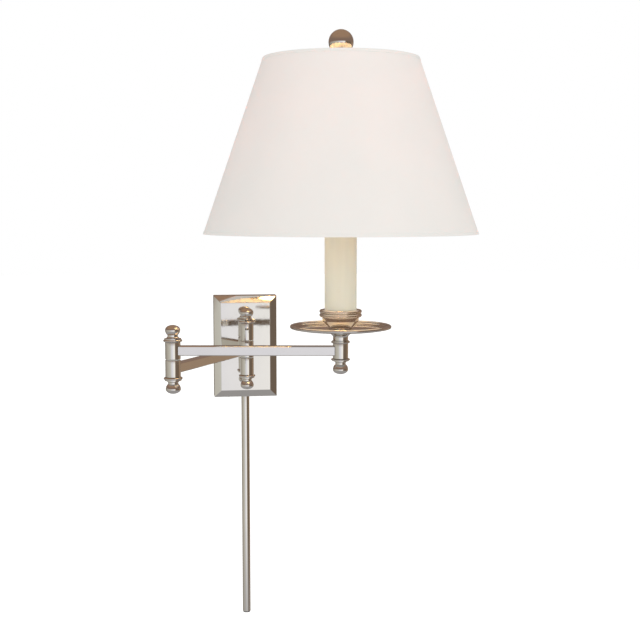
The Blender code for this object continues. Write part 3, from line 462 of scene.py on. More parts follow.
def ivory_finish():
    """Waxy ivory with faint streaks down the candle."""
    colours = bpy.context.scene.sconce_colours
    material, tree, shader = new_finish("candle_ivory")
    colour = tuple(colours.ivory)
    streaks = object_noise(tree, 70, 3, (1, 1, 0.06))
    tree.links.new(two_tones(tree, streaks, toned(colour, 0.93), colour), shader.inputs["Base Color"])
    tree.links.new(spread(tree, object_noise(tree, 120, 4), 0.42, 0.58), shader.inputs["Roughness"])
    tree.links.new(bump(tree, object_noise(tree, 420, 3), 0.12, 0.05 * MM), shader.inputs["Normal"])
    shader.inputs["Subsurface Weight"].default_value = 0.12
    shader.inputs["Subsurface Radius"].default_value = (0.004, 0.003, 0.0015)
    return material


def bulb_finish():
    """Frosted glass of a lit bulb."""
    colours = bpy.context.scene.sconce_colours
    material, tree, shader = new_finish("lit_frosted_glass")
    frost = object_noise(tree, 300, 3)
    tint = two_tones(tree, frost, (0.90, 0.88, 0.83), (0.95, 0.94, 0.90))
    tree.links.new(tint, shader.inputs["Base Color"])
    tree.links.new(spread(tree, frost, 0.35, 0.5), shader.inputs["Roughness"])
    shader.inputs["Emission Color"].default_value = (*colours.glow, 1)
    shader.inputs["Emission Strength"].default_value = colours.glow_strength
    return material


FINISHES = {}


def make_finishes():
    """Make each finish once, by its material slot."""
    nickel = tuple(bpy.context.scene.sconce_colours.nickel)
    FINISHES.update({
        "polished_nickel": metal("polished_nickel", nickel, 0.035, 0.085, 900, 0.04, 0.97),
        "zinc_steel": metal("zinc_steel", (0.58, 0.58, 0.60), 0.30, 0.45, 500, 0.3, 0.85),
        "brass": metal("brass", (0.80, 0.60, 0.30), 0.18, 0.34, 420, 0.2, 0.85),
        "bulb_cap": metal("bulb_cap", (0.74, 0.72, 0.68), 0.22, 0.36, 420, 0.2, 0.85),
        "green_steel": metal("green_steel", (0.08, 0.42, 0.16), 0.28, 0.42, 420, 0.2, 0.85),
        "orange_plastic": plain("orange_plastic", (0.80, 0.28, 0.05), 0.38, 0.5, 500, 0.2),
        "lead_insulation": plain("lead_insulation", (0.74, 0.71, 0.60), 0.4, 0.55, 500, 0.2),
        "black_rubber": plain("black_rubber", (0.03, 0.03, 0.03), 0.5, 0.65, 700, 0.3, 0.7),
        "nylon": plain("nylon", (0.80, 0.79, 0.74), 0.4, 0.55, 600, 0.15),
        "black_phenolic": plain("black_phenolic", (0.025, 0.024, 0.022), 0.25, 0.4, 500, 0.15, 0.7, 0.3),
        "white_wire": plain("white_wire", (0.84, 0.83, 0.80), 0.35, 0.5, 500, 0.2),
        "shade_paper": paper_finish(),
        "ivory_card": ivory_finish(),
        "frosted_glass": bulb_finish(),
    })


def body_of_node(node):
    """Name of the body that a frame node belongs to."""
    for body, members in frame["record"]["behaviour"]["bodies"].items():
        if node in members:
            return body
    raise RuntimeError(f"no body holds {node}")


def slot_of_node(node):
    """Material slot of a frame node."""
    for entry in frame["record"]["subparts"]:
        if entry["node"] == node:
            return entry["material_slot"]
    raise RuntimeError(f"no material slot is given for {node}")


def stand_for(piece, node):
    """Let a modelled piece stand for one frame node, on its body and with its finish."""
    slot = slot_of_node(node)
    return place_piece(piece, body_of_node(node), slot, FINISHES[slot], node)


# ---------------------------------------------------------------- outlines


def ring(node, bore, edge=None):
    """Softened outline of a plain ring as high and wide as a frame node."""
    low, high = span_of(node)
    outer = half_width(node)
    corners_round = [(outer, high), (outer, low), (bore, low), (bore, high)]
    if edge is None:
        edge = bpy.context.scene.sconce_sizes.edge
    return softened(corners_round, edge, closed=True)


def finial_outline(node, upward):
    """Urn-shaped cap nut: domed tip, tapered waist and flared foot, with its blind bore."""
    low, high = span_of(node)
    radius = half_width(node)
    height = high - low
    tip = 5.8 * MM
    shoulder = 8.5 * MM
    neck = 6.2 * MM
    foot = 7.2 * MM
    bore_depth = 9 * MM
    bore = RISER_CLEAR if node == "head_finial" else PIN_BORE
    widest = height - tip
    neck_angle = -math.degrees(math.acos(neck / radius))
    lower = [
        (neck, 1.9 * MM),
        (foot, 1.0 * MM),
        (foot, 0),
        (bore, 0),
        (bore, bore_depth),
        (0, bore_depth),
    ]
    shape = arc(0, widest, radius, tip, 90, 0, 18) + arc(0, widest, radius, shoulder, 0, neck_angle, 14)[1:]
    shape += softened(lower, 0.35 * MM)
    shape[0] = (0, height)
    if upward:
        return [(r, low + z) for r, z in shape]
    return [(r, high - z) for r, z in shape]


# ---------------------------------------------------------------- operators


class SCONCE_OT_finishes(bpy.types.Operator):
    """Make the finishes and put them on the frame's own nodes"""

    bl_idname = "sconce.finishes"
    bl_label = "Finishes"

    def execute(self, context):
        make_finishes()
        for name, node in frame["nodes"].items():
            node.data.materials.clear()
            node.data.materials.append(FINISHES[slot_of_node(name)])
        return {"FINISHED"}


class SCONCE_OT_backplate(bpy.types.Operator):
    """Model the thin bevelled backplate, open at the wall"""

    bl_idname = "sconce.backplate"
    bl_label = "Backplate"

    def execute(self, context):
        sizes = context.scene.sconce_sizes
        low, high = corners("backplate")
        bevel_depth = 4 * MM
        bevel_width = 9.5 * MM
        shoulder = low.y + bevel_depth
        plate = cube("plate", (low.x, shoulder, low.z), (high.x, 0, high.z))
        choose(plate)
        bpy.ops.object.mode_set(mode="EDIT")
        bpy.ops.mesh.select_mode(type="FACE")
        self.select_facing(plate, -1)
        bpy.ops.mesh.extrude_region_move(TRANSFORM_OT_translate={"value": (0, -bevel_depth, 0)})
        width, height = high.x - low.x, high.z - low.z
        narrowed = (1 - 2 * bevel_width / width, 1, 1 - 2 * bevel_width / height)
        bpy.ops.transform.resize(value=narrowed, center_override=(0, low.y, 0))
        self.select_facing(plate, 1)
        bpy.ops.mesh.delete(type="ONLY_FACE")
        bpy.ops.object.mode_set(mode="OBJECT")
        round_edges(plate, sizes.plate_edge, 3, 15)
        wall = plate.modifiers.new("wall", "SOLIDIFY")
        wall.thickness = PLATE_WALL
        wall.offset = -1
        wall.use_even_offset = True
        bpy.ops.object.modifier_apply(modifier=wall.name)
        stud = axis_of("yoke_nipple")[0]
        cutter = rod("cut", (stud, low.y - MM, 0), (stud, low.y + 4 * MM, 0), RISER_CLEAR)
        combine(plate, cutter, "DIFFERENCE")
        holes = [(axis_of("cord_cover_tube"), half_width("cord_cover_tube") + GAP)]
        holes += [(axis_of(f"backplate_screw_{side}"), SCREW_CLEAR) for side in ("left", "right")]
        for (x, y), radius in holes:
            cutter = rod("cut", (x, y, low.z - 2 * MM), (x, y, low.z + 4 * MM), radius)
            combine(plate, cutter, "DIFFERENCE")
        stand_for(settle(plate, "backplate_cover", 25), "backplate")
        return {"FINISHED"}

    @staticmethod
    def select_facing(plate, side):
        """Select only the faces that look along Y on one side."""
        bpy.ops.mesh.select_all(action="DESELECT")
        bpy.ops.object.mode_set(mode="OBJECT")
        for face in plate.data.polygons:
            face.select = face.normal.y * side > 0.9
        bpy.ops.object.mode_set(mode="EDIT")


class SCONCE_OT_plate_screws(bpy.types.Operator):
    """Model the slotted oval-head screws under the backplate"""

    bl_idname = "sconce.plate_screws"
    bl_label = "Plate Screws"

    def execute(self, context):
        for side in ("left", "right"):
            node = f"backplate_screw_{side}"
            low, high = span_of(node)
            axis = axis_of(node)
            head = half_width(node)
            shank = 1.6 * MM
            seat = low + 1.6 * MM
            outline = [(0, high), (shank, high), (shank, seat), (head, seat)]
            outline += arc(0, seat, head, seat - low, 0, -90, 10)[1:]
            outline[-1] = (0, low)
            screw = lathe(f"oval_screw_{side}", axis, outline, SMALL)
            slot_half = 0.35 * MM
            slot_depth = 0.7 * MM
            slot_reach = 4 * MM
            corner = (axis[0] - slot_reach, axis[1] - slot_half, low - MM)
            opposite = (axis[0] + slot_reach, axis[1] + slot_half, low + slot_depth)
            combine(screw, cube("slot", corner, opposite), "DIFFERENCE")
            stand_for(settle(screw, f"oval_screw_{side}"), node)
        return {"FINISHED"}


class SCONCE_OT_yoke(bpy.types.Operator):
    """Model the C-shaped yoke with its two fixed knuckles"""

    bl_idname = "sconce.yoke"
    bl_label = "Wall Yoke"

    def execute(self, context):
        low, high = corners("wall_yoke")
        sizes = context.scene.sconce_sizes
        half = 5.5 * MM
        front = -37 * MM
        washer_room = 1.2 * MM
        inner = span_of("wall_middle_knuckle")[1] + washer_room
        spans = ((inner, high.z), (low.z, -inner))
        pivot = WALL_AXIS[1]
        casting = cube("yoke", (-half, front, low.z), (half, high.y, high.z))
        for bottom, top in spans:
            combine(casting, cube("arm", (-half, pivot, bottom), (half, front + 2 * MM, top)), "UNION")
        round_edges(casting, 0.8 * MM)
        for bottom, top in spans:
            drum = [(0, top), (KNUCKLE_RADIUS, top), (KNUCKLE_RADIUS, bottom), (0, bottom)]
            tool = lathe("drum", WALL_AXIS, softened(drum, sizes.edge), FINE)
            combine(casting, tool, "UNION")
        bore = rod("bore", (0, pivot, low.z - MM), (0, pivot, high.z + MM), PIN_BORE)
        combine(casting, bore, "DIFFERENCE")
        stud = rod("stud", (0, high.y + MM, 0), (0, high.y - 7 * MM, 0), RISER_CLEAR)
        combine(casting, stud, "DIFFERENCE")
        stand_for(settle(casting, "yoke_casting"), "wall_yoke")
        return {"FINISHED"}


class SCONCE_OT_swivels(bpy.types.Operator):
    """Turn the knuckles, collars, washers and ball-topped finials of the three swivels"""

    bl_idname = "sconce.swivels"
    bl_label = "Swivels"

    def execute(self, context):
        axes = {"wall": WALL_AXIS, "elbow": ELBOW_AXIS, "head": HEAD_AXIS, "candle": HEAD_AXIS}
        rings = {
            "wall_middle_knuckle": PIN_BORE,
            "elbow_lower_knuckle": PIN_BORE,
            "elbow_upper_knuckle": PIN_BORE,
            "candle_knuckle": RISER_CLEAR,
            "wall_upper_washer": PIN_BORE,
            "wall_lower_washer": PIN_BORE,
            "elbow_washer": PIN_BORE,
        }
        for node, bore in rings.items():
            edge = 0.15 * MM if "washer" in node else None
            piece = lathe(node + "_turned", axes[node.split("_")[0]], ring(node, bore, edge), FINE, True)
            stand_for(piece, node)
        for node in (
            "wall_top_collar", "wall_bottom_collar", "elbow_top_collar", "elbow_bottom_collar",
            "head_top_collar", "head_bottom_collar",
        ):
            place = node.split("_")[0]
            piece = lathe(node + "_turned", axes[place], self.collar(node), FINE, True)
            stand_for(piece, node)
        for node, upward in {
            "wall_top_finial": True,
            "wall_bottom_finial": False,
            "elbow_top_finial": True,
            "elbow_bottom_finial": False,
            "head_finial": False,
        }.items():
            place = node.split("_")[0]
            piece = lathe(node + "_turned", axes[place], finial_outline(node, upward), FINE)
            stand_for(piece, node)
        return {"FINISHED"}

    @staticmethod
    def collar(node):
        """A disc with a rounded bead, a small step and a bore."""
        low, high = span_of(node)
        outer = half_width(node)
        bore = RISER_CLEAR if node.startswith("head") else PIN_BORE
        step = 1.3 * MM
        third = (high - low) * 0.3
        bead = (high - low - third) / 2
        if node.endswith("top_collar"):
            lip = [(outer - step, high), (outer - step, high - third)]
            body = arc(outer - bead, low + bead, bead, bead, 90, -90, 8)
        else:
            lip = [(outer - step, low + third), (outer - step, low)]
            body = arc(outer - bead, high - bead, bead, bead, 90, -90, 8)
        rim = lip + body if node.endswith("top_collar") else body + lip
        return rim + [(bore, low), (bore, high)]


class SCONCE_OT_cord_cover(bpy.types.Operator):
    """Turn the cord cover tube and the bush in its lower end"""

    bl_idname = "sconce.cord_cover"
    bl_label = "Cord Cover"

    def execute(self, context):
        axis = axis_of("cord_cover_tube")
        tube = lathe("cord_cover", axis, ring("cord_cover_tube", 4.6 * MM, 0.3 * MM), FINE, True)
        stand_for(tube, "cord_cover_tube")
        low, high = span_of("cover_bushing")
        lip = 1 * MM
        outer = 4.3 * MM
        wide = 5.1 * MM
        bore = 3.2 * MM
        outline = [
            (outer, high), (outer, low + lip), (wide, low + lip), (wide, low), (bore, low), (bore, high),
        ]
        bush = lathe("cord_bush", axis, softened(outline, 0.3 * MM, True), SMALL, True)
        stand_for(bush, "cover_bushing")
        return {"FINISHED"}


class SCONCE_OT_candle(bpy.types.Operator):
    """Turn the stem, drip dish, candle cup and ivory sleeve"""

    bl_idname = "sconce.candle"
    bl_label = "Candle and Dish"

    def execute(self, context):
        stem = lathe("stem_spacer", HEAD_AXIS, self.stem(), BROAD, True)
        stand_for(stem, "dish_stem")
        stand_for(lathe("saucer", HEAD_AXIS, self.dish(), BROAD, True), "drip_dish")
        stand_for(lathe("cup", HEAD_AXIS, self.cup(), FINE, True), "candle_cup")
        sleeve_wall = 1.6 * MM
        bore = half_width("candle_sleeve") - sleeve_wall
        sleeve = lathe("ivory_sleeve", HEAD_AXIS, ring("candle_sleeve", bore, 0.4 * MM), FINE, True)
        stand_for(sleeve, "candle_sleeve")
        return {"FINISHED"}

    @staticmethod
    def stem():
        """Spacer that flares out in a smooth trumpet to carry the dish."""
        low, high = span_of("dish_stem")
        flare = half_width("dish_stem")
        radius = 9 * MM
        edge = 0.5 * MM
        rise = 8.8 * MM - edge
        trumpet = arc(flare, high - edge - rise, flare - radius, rise, 90, 180, 26)
        foot = arc(radius - edge, low + edge, edge, edge, 0, -90, 4)
        return [(flare, high), *trumpet, *foot, (RISER_CLEAR, low), (RISER_CLEAR, high)]

    @staticmethod
    def dish():
        """Shallow saucer with a wide flat well and a rolled rim."""
        low, high = span_of("drip_dish")
        radius = half_width("drip_dish")
        roll = 2 * MM
        floor = low + DISH_WALL
        well = 47 * MM
        edge = radius - roll
        middle = high - roll
        rim = arc(edge, middle, roll, roll, 165, -90, 18)
        under = [(edge - 3 * MM, low + 0.95 * MM), (edge - 7 * MM, low + 0.25 * MM), (well, low)]
        hub = [(9 * MM, low), (RISER_CLEAR, low), (RISER_CLEAR, floor), (18 * MM, floor)]
        over = arc(well, middle, edge - roll * 0.9 - well, middle - floor, -90, -8, 16)
        return rim + under + hub + over

    @staticmethod
    def cup():
        """Tapered cup on a narrow foot, with a double-bead lip."""
        low, high = span_of("candle_cup")
        lip = half_width("candle_cup")
        bead = 2.25 * MM
        bore = 19.4 * MM
        floor = 57.5 * MM
        neck = 21.6 * MM
        foot = 14.2 * MM
        beads = arc(lip - bead, high - bead, bead, bead, 90, -78, 12)
        beads += arc(lip - bead, high - 3 * bead, bead, bead, 78, -90, 12)
        waist = high - 4 * bead
        side = [
            (neck + 0.5 * MM, waist),
            (neck, waist - 1 * MM),
            (neck, floor - 0.6 * MM),
            (neck - 0.25 * MM, floor - 1.3 * MM),
            (foot + 0.5 * MM, low + 1.7 * MM),
            (foot, low + 0.9 * MM),
            (foot, low),
            (RISER_CLEAR, low),
            (RISER_CLEAR, floor),
            (bore, floor),
        ]
        mouth = 0.7 * MM
        return beads + side + arc(bore + mouth, high - mouth, mouth, mouth, 180, 90, 4)


class SCONCE_OT_lampholder(bpy.types.Operator):
    """Turn the lampholder's brass cups and the bulb"""

    bl_idname = "sconce.lampholder"
    bl_label = "Lampholder and Bulb"

    def execute(self, context):
        stand_for(lathe("holder_cap", HEAD_AXIS, self.cap(), FINE, True), "socket_cap")
        stand_for(lathe("holder_shell", HEAD_AXIS, self.shell(), FINE, True), "socket_shell")
        stand_for(lathe("screw_cap", HEAD_AXIS, self.screw_cap(context), FINE), "bulb_base")
        stand_for(lathe("glass_envelope", HEAD_AXIS, self.glass(), FINE), "bulb_glass")
        return {"FINISHED"}

    @staticmethod
    def cap():
        """Lower brass cup with a rounded shoulder."""
        low, high = span_of("socket_cap")
        outer = half_width("socket_cap")
        wall = 1.2 * MM
        hub = 9 * MM
        outline = [
            (outer - wall, high), (outer, high), (outer, high - 8 * MM), (hub, low + 3 * MM), (hub, low),
            (RISER_CLEAR, low), (RISER_CLEAR, low + 3.6 * MM), (hub - wall, low + 4.4 * MM),
            (outer - wall, high - 7.4 * MM),
        ]
        return softened(outline, 2 * MM, True, 5)

    @staticmethod
    def shell():
        """Upper brass cup with a raised bead near its mouth."""
        low, high = span_of("socket_shell")
        outer = half_width("socket_shell")
        wall = 1 * MM
        waist = outer - 0.8 * MM
        bead = 1.2 * MM
        outline = [(outer - wall, high), (outer, high), (outer, high - 2 * MM), (waist, high - 3 * MM)]
        for centre in (high - 9 * MM, low + 6 * MM):
            outline += [(waist, centre + bead), (outer, centre), (waist, centre - bead)]
        outline += [(waist, low), (outer - wall, low)]
        return softened(outline, 0.5 * MM, True)

    @staticmethod
    def screw_cap(context):
        """Bulb cap with a rolled thread and a tip contact."""
        low, high = span_of("bulb_base")
        outer = half_width("bulb_base")
        depth = context.scene.sconce_sizes.thread_depth
        turns = 5
        thread = []
        top = high - 4 * MM
        bottom = low + 7 * MM
        for index in range(turns * 8 + 1):
            share = index / (turns * 8)
            wave = depth * (0.5 - 0.5 * math.cos(share * turns * math.tau))
            thread.append((outer - wave, top + (bottom - top) * share))
        tip = [(6 * MM, low + 3 * MM), (3 * MM, low + 0.5 * MM), (0, low)]
        return [(0, high), (outer, high)] + thread + tip

    @staticmethod
    def glass():
        """Pear-shaped envelope, open where the cap closes it."""
        low, high = span_of("bulb_glass")
        radius = 30 * MM
        wall = 1 * MM
        centre = high - radius
        neck = 12.5 * MM
        shoulder = -50
        outside = arc(0, centre, radius, radius, 90, shoulder, 30)
        shoulder_r, shoulder_z = outside[-1]
        slope = math.radians(shoulder - 90)
        reach = (shoulder_z - low) * 0.42
        pull_r = shoulder_r + reach * math.cos(slope)
        pull_z = shoulder_z + reach * math.sin(slope)
        for step in range(1, 13):
            t = step / 12
            r = shoulder_r * (1 - t) ** 2 + pull_r * 2 * t * (1 - t) + neck * t ** 2
            z = shoulder_z * (1 - t) ** 2 + pull_z * 2 * t * (1 - t) + low * t ** 2
            outside.append((max(r, neck), z))
        outside[0] = (0, high)
        inside = [(max(r - wall, 0), z) for r, z in reversed(outside[1:])]
        return outside + inside + [(0, high - wall)]


class SCONCE_OT_harp(bpy.types.Operator):
    """Bend the harp's wire and add the sleeves that lock its feet"""

    bl_idname = "sconce.harp"
    bl_label = "Harp"

    def execute(self, context):
        low, high = corners("harp")
        radius = 1.2 * MM
        centre_x = HEAD_AXIS[0]
        half = (high.x - low.x) / 2 - radius
        foot_x = 21.25 * MM
        foot = low.z
        straight = 14 * MM
        belly = 262 * MM
        top = high.z - radius
        side = [(foot_x, foot + straight * index / 4) for index in range(5)]
        flare = 14
        for index in range(1, flare):
            share = index / flare
            eased = share * share * (3 - 2 * share)
            height = foot + straight + (belly - foot - straight) * share
            side.append((foot_x + (half - foot_x) * eased, height))
        outline = side + arc(0, belly, half, top - belly, 0, 90, 24)
        route = [(x, z) for x, z in outline] + [(-x, z) for x, z in reversed(outline[:-1])]
        curve = bpy.data.curves.new("harp_wire", "CURVE")
        curve.dimensions = "3D"
        curve.bevel_depth = radius
        curve.bevel_resolution = 4
        curve.use_fill_caps = True
        spline = curve.splines.new("POLY")
        spline.points.add(len(route) - 1)
        for point, (x, z) in zip(spline.points, route):
            point.co = (centre_x + x, HEAD_AXIS[1], z, 1)
        wire = bpy.data.objects.new("harp_wire", curve)
        context.scene.collection.objects.link(wire)
        choose(wire)
        bpy.ops.object.convert(target="MESH")
        wire = context.object
        bpy.ops.object.mode_set(mode="EDIT")
        weld()
        stand_for(settle(wire, "harp_wire", 40), "harp")
        for side_name, sign in (("left", -1), ("right", 1)):
            bottom = foot + GAP
            top = bottom + 10 * MM
            wide = 3.6 * MM
            slim = 3.2 * MM
            bore = 1.4 * MM
            sleeve = [
                (slim, top), (wide, bottom + 8 * MM), (slim, bottom + 5 * MM),
                (wide, bottom + 1 * MM), (wide, bottom), (bore, bottom), (bore, top),
            ]
            axis = (centre_x + sign * foot_x, HEAD_AXIS[1])
            ferrule = lathe(f"harp_ferrule_{side_name}", axis, softened(sleeve, 0.6 * MM, True), SMALL, True)
            place_piece(ferrule, "lamp_head", "brass", FINISHES["brass"])
        stud = half_width("harp_stud")
        bottom, top = span_of("harp_stud")
        flange = bottom + 2.5 * MM
        shank = 3 * MM
        shape = [(0, top), (shank, top), (shank, flange), (stud, flange), (stud, bottom), (0, bottom)]
        stand_for(lathe("shade_seat", HEAD_AXIS, softened(shape, 0.4 * MM), SMALL), "harp_stud")
        return {"FINISHED"}


class SCONCE_OT_shade(bpy.types.Operator):
    """Roll the paper shade with its folded hems and lapped seam"""

    bl_idname = "sconce.shade"
    bl_label = "Paper Shade"

    def execute(self, context):
        sizes = context.scene.sconce_sizes
        low, high = corners("shade")
        bottom_radius = (high.x - low.x) / 2
        top_radius = self.top_radius(high.z)
        slope = (bottom_radius - top_radius) / (high.z - low.z)
        hem, step, paper = sizes.hem_height, sizes.hem_step, sizes.paper

        def outside(height, inset=0.0):
            return (top_radius + slope * (high.z - height) - inset, height)

        outline = [
            outside(high.z - 0.5 * step),
            outside(high.z - hem),
            outside(high.z - hem - step, step),
        ]
        spans = 10
        for index in range(1, spans):
            height = high.z - hem - step - (high.z - low.z - 2 * hem - 2 * step) * index / spans
            outline.append(outside(height, step))
        outline += [
            outside(low.z + hem + step, step),
            outside(low.z + hem),
            outside(low.z + 0.5 * step),
            outside(low.z, 0.6 * step),
            outside(low.z, paper + step),
            outside(low.z + hem, paper + step),
            outside(low.z + hem + step, paper + 0.6 * step),
            outside(high.z - hem - step, paper + 0.6 * step),
            outside(high.z - hem, paper + step),
            outside(high.z, paper + step),
            outside(high.z, 0.6 * step),
        ]
        shade = lathe("paper_shade", HEAD_AXIS, outline, BROAD, True)
        self.lap_seam(shade)
        stand_for(settle(shade, "paper_shade"), "shade")
        return {"FINISHED"}

    @staticmethod
    def top_radius(height):
        """Outside radius at the top edge, from the frame node's own points."""
        node = frame["nodes"]["shade"]
        centre = Vector(HEAD_AXIS)
        rim = [v.co.xy - centre for v in node.data.vertices if abs(v.co.z - height) < GAP]
        return max(point.length for point in rim)

    @staticmethod
    def lap_seam(shade):
        """Raise a narrow strip down the side towards the wall, where the paper laps."""
        choose(shade)
        bpy.ops.object.mode_set(mode="EDIT")
        bpy.ops.mesh.select_mode(type="FACE")
        bpy.ops.mesh.select_all(action="DESELECT")
        bpy.ops.object.mode_set(mode="OBJECT")
        centre = Vector((*HEAD_AXIS, 0))
        low, high = span_of("shade")
        clear_of_hem = 5 * MM
        first_bearing = 88
        last_bearing = 95
        for face in shade.data.polygons:
            away = face.center - centre
            bearing = math.degrees(math.atan2(away.y, away.x))
            outward = face.normal.x * away.x + face.normal.y * away.y > 0
            inside_hems = low + clear_of_hem < face.center.z < high - clear_of_hem
            face.select = outward and inside_hems and first_bearing < bearing < last_bearing
        bpy.ops.object.mode_set(mode="EDIT")
        bpy.ops.mesh.extrude_region_shrink_fatten(TRANSFORM_OT_shrink_fatten={"value": 0.25 * MM})
        bpy.ops.object.mode_set(mode="OBJECT")


class SCONCE_OT_shade_frame(bpy.types.Operator):
    """Model the spider, the two wire rings and the ball finial"""

    bl_idname = "sconce.shade_frame"
    bl_label = "Shade Frame and Finial"

    def execute(self, context):
        wire = SHADE_WIRE
        low, high = span_of("shade_bottom_ring")
        radius = half_width("shade_bottom_ring") - wire
        circle = arc(radius, (low + high) / 2, wire, wire, 90, -270, 14)[:-1]
        stand_for(lathe("bottom_wire_ring", HEAD_AXIS, circle, BROAD, True, 60), "shade_bottom_ring")
        low, high = corners("shade_spider")
        ring_radius = half_width("shade_spider") - wire
        ring_z = high.z - wire
        hub_z = low.z
        hub_high = 3 * MM
        hub_top = hub_z + hub_high
        hub_radius = 9 * MM
        hub = [(hub_radius, hub_top), (hub_radius, hub_z), (STUD_CLEAR, hub_z), (STUD_CLEAR, hub_top)]
        spider = lathe("spider", HEAD_AXIS, softened(hub, 0.5 * MM, True), FINE, True)
        centre = Vector((*HEAD_AXIS, 0))
        for index in range(3):
            bearing = math.tau * (index / 3 + 1 / 12)
            out = Vector((math.cos(bearing), math.sin(bearing), 0))
            start = centre + out * 7.5 * MM + Vector((0, 0, hub_z + hub_high / 2))
            end = centre + out * ring_radius + Vector((0, 0, ring_z))
            combine(spider, rod("arm", start, end, wire * 0.9, 20), "UNION")
        circle = arc(ring_radius, ring_z, wire, wire, 90, -270, 14)[:-1]
        combine(spider, lathe("ring", HEAD_AXIS, circle, BROAD, True, 60), "UNION")
        stand_for(settle(spider, "spider", 40), "shade_spider")
        stand_for(lathe("polished_ball", HEAD_AXIS, self.ball(), BROAD), "ball_finial")
        return {"FINISHED"}

    @staticmethod
    def ball():
        """Ball on a waisted neck and a small foot."""
        low, high = span_of("ball_finial")
        radius = half_width("ball_finial")
        centre = high - radius
        neck = 5 * MM
        foot = 7.5 * MM
        bore_top = centre - 5 * MM
        angle = -math.degrees(math.acos(neck / radius))
        lower = [
            (neck, low + 3.4 * MM), (foot, low + 2 * MM), (foot, low),
            (STUD_CLEAR, low), (STUD_CLEAR, bore_top), (0, bore_top),
        ]
        shape = arc(0, centre, radius, radius, 90, angle, 40) + softened(lower, 0.5 * MM)
        shape[0] = (0, high)
        return shape


FLOOR_Z = -0.78
FLOOR_SIZE = 30
LIGHT_TARGET = Vector((0, -0.2, 0.1))
CAMERA_PLACE = (-0.1046, -1.6010, 0.1913)
CAMERA_DIP = 5.6
CAMERA_TURN = -7.5
CAMERA_LENS = 65

# The room's colours by bearing in degrees, then over and under the walls.
ROOM = (
    (-180, (0.10, 0.08, 0.06)),
    (-150, (0.14, 0.11, 0.085)),
    (-138, (0.30, 0.27, 0.23)),
    (-75, (0.52, 0.49, 0.43)),
    (-38, (0.62, 0.61, 0.55)),
    (-22, (0.78, 0.78, 0.84)),
    (-6, (0.86, 0.86, 0.92)),
    (8, (0.98, 0.97, 0.96)),
    (26, (1.10, 1.08, 1.04)),
    (34, (0.30, 0.22, 0.16)),
    (44, (0.17, 0.13, 0.10)),
    (92, (0.18, 0.125, 0.085)),
    (112, (0.36, 0.25, 0.17)),
    (132, (0.36, 0.26, 0.18)),
    (150, (0.20, 0.15, 0.11)),
    (166, (0.13, 0.10, 0.08)),
)
CEILING = (0.36, 0.23, 0.15)
UPPER_WALL = (0.24, 0.165, 0.13)
GROUND = (0.36, 0.35, 0.35)


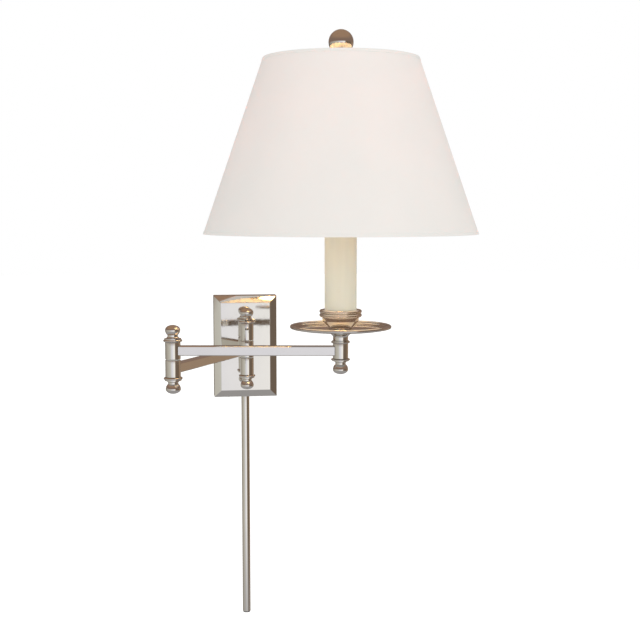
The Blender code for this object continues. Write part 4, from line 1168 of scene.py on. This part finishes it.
class SCONCE_OT_stage(bpy.types.Operator):
    """Set the pale floor, the soft studio light and the camera"""

    bl_idname = "sconce.stage"
    bl_label = "Stage"

    def execute(self, context):
        scene = context.scene
        scene.view_settings.view_transform = "Standard"
        self.floor()
        self.world(scene)
        self.lights()
        self.camera(scene)
        return {"FINISHED"}

    @staticmethod
    def floor():
        """Wide pale floor well below the lamp."""
        deselect()
        place = (0, 0, FLOOR_Z)
        bpy.ops.mesh.primitive_grid_add(x_subdivisions=8, y_subdivisions=8, size=FLOOR_SIZE, location=place)
        floor = bpy.context.object
        floor.name = "floor"
        material = plain("pale_floor", (0.93, 0.93, 0.93), 0.6, 0.7, 40, 0.05, 0.99)
        shader = material.node_tree.nodes["Principled BSDF"]
        shader.inputs["Emission Color"].default_value = (1, 1, 1, 1)
        shader.inputs["Emission Strength"].default_value = 0.38
        floor.data.materials.append(material)
        floor.visible_glossy = False
        floor.visible_diffuse = False

    @staticmethod
    def blend(tree, factor, low, high):
        """Mix two colours by a factor."""
        mix = tree.nodes.new("ShaderNodeMix")
        mix.data_type = "RGBA"
        tree.links.new(factor, mix.inputs["Factor"])
        for socket, colour in ((mix.inputs[6], low), (mix.inputs[7], high)):
            if isinstance(colour, tuple):
                socket.default_value = (*colour, 1)
            else:
                tree.links.new(colour, socket)
        return mix.outputs[2]

    @classmethod
    def room(cls, tree):
        """A room in brown, grey and white, which the polished metal reflects."""
        where = tree.nodes.new("ShaderNodeTexCoord")
        split = tree.nodes.new("ShaderNodeSeparateXYZ")
        tree.links.new(where.outputs["Generated"], split.inputs["Vector"])
        forward = tree.nodes.new("ShaderNodeMath")
        forward.operation = "MULTIPLY"
        forward.inputs[1].default_value = -1
        tree.links.new(split.outputs["Y"], forward.inputs[0])
        bearing = tree.nodes.new("ShaderNodeMath")
        bearing.operation = "ARCTAN2"
        tree.links.new(split.outputs["X"], bearing.inputs[0])
        tree.links.new(forward.outputs["Value"], bearing.inputs[1])
        turn = spread(tree, bearing.outputs["Value"], 0, 1, -math.pi, math.pi)
        ramp = tree.nodes.new("ShaderNodeValToRGB")
        stops = ramp.color_ramp.elements
        for _ in range(len(ROOM) - len(stops)):
            stops.new(1)
        for stop, (degrees, colour) in zip(stops, ROOM):
            stop.position = (degrees + 180) / 360
            stop.color = (*colour, 1)
        tree.links.new(turn, ramp.inputs["Fac"])
        down = spread(tree, split.outputs["Z"], 1, 0, -0.62, -0.30)
        upper = spread(tree, split.outputs["Z"], 0, 1, 0.0, 0.12)
        top = spread(tree, split.outputs["Z"], 0, 1, 0.35, 0.70)
        walls = cls.blend(tree, down, ramp.outputs["Color"], GROUND)
        return cls.blend(tree, top, cls.blend(tree, upper, walls, UPPER_WALL), CEILING)

    @classmethod
    def world(cls, scene):
        """White to the camera, even light for matt surfaces and a room for reflections."""
        world = bpy.data.worlds.new("studio")
        scene.world = world
        world.use_nodes = True
        tree = world.node_tree
        background = tree.nodes["Background"]
        path = tree.nodes.new("ShaderNodeLightPath")
        soft = cls.blend(tree, path.outputs["Is Camera Ray"], (0.90, 0.905, 0.895), (1.0, 1.0, 1.0))
        colour = cls.blend(tree, path.outputs["Is Glossy Ray"], soft, cls.room(tree))
        tree.links.new(colour, background.inputs["Color"])
        background.inputs["Strength"].default_value = 1.0

    @staticmethod
    def lights():
        """Soft key from the right and a weaker fill from the left."""
        for name, place, size, energy in (
            ("key", (1.5, -2.3, 1.1), 1.6, 17),
            ("fill", (-1.8, -1.9, 0.3), 1.8, 10),
        ):
            data = bpy.data.lights.new(name, "AREA")
            data.size = size
            data.energy = energy
            light = bpy.data.objects.new(name, data)
            bpy.context.scene.collection.objects.link(light)
            light.location = place
            towards = LIGHT_TARGET - light.location
            light.rotation_euler = towards.to_track_quat("-Z", "Y").to_euler()
            light.visible_glossy = False

    @staticmethod
    def camera(scene):
        """Slightly raised camera, a little left of the plate."""
        data = bpy.data.cameras.new("camera")
        data.lens = CAMERA_LENS
        data.sensor_width = 36
        camera = bpy.data.objects.new("camera", data)
        scene.collection.objects.link(camera)
        camera.location = CAMERA_PLACE
        camera.rotation_euler = (math.radians(90 - CAMERA_DIP), 0, math.radians(CAMERA_TURN))
        scene.camera = camera


class SCONCE_PT_panel(bpy.types.Panel):
    """Sidebar panel with the sconce's settings and pieces"""

    bl_idname = "SCONCE_PT_panel"
    bl_label = "Wall Sconce"
    bl_space_type = "VIEW_3D"
    bl_region_type = "UI"
    bl_category = "Sconce"

    def draw(self, context):
        layout = self.layout
        for group in (context.scene.sconce_sizes, context.scene.sconce_colours):
            column = layout.column()
            for name in group.bl_rna.properties.keys():
                if name not in ("rna_type", "name"):
                    column.prop(group, name)
        for operator in OPERATORS:
            layout.operator(operator.bl_idname)


OPERATORS = (
    SCONCE_OT_finishes,
    SCONCE_OT_backplate,
    SCONCE_OT_plate_screws,
    SCONCE_OT_yoke,
    SCONCE_OT_swivels,
    SCONCE_OT_cord_cover,
    SCONCE_OT_candle,
    SCONCE_OT_lampholder,
    SCONCE_OT_harp,
    SCONCE_OT_shade,
    SCONCE_OT_shade_frame,
    SCONCE_OT_stage,
)
CLASSES = (SconceSizes, SconceColours, *OPERATORS, SCONCE_PT_panel)


def register():
    """Register the classes and the scene's settings."""
    for item in CLASSES:
        bpy.utils.register_class(item)
    bpy.types.Scene.sconce_sizes = bpy.props.PointerProperty(type=SconceSizes)
    bpy.types.Scene.sconce_colours = bpy.props.PointerProperty(type=SconceColours)


def unregister():
    """Remove the settings and the classes."""
    del bpy.types.Scene.sconce_colours
    del bpy.types.Scene.sconce_sizes
    for item in reversed(CLASSES):
        bpy.utils.unregister_class(item)


def main():
    """Register the settings, then model the pieces in order."""
    register()
    for operator in OPERATORS:
        group, name = operator.bl_idname.split(".")
        getattr(getattr(bpy.ops, group), name)()
    deselect()


if __name__ == "__main__":
    main()
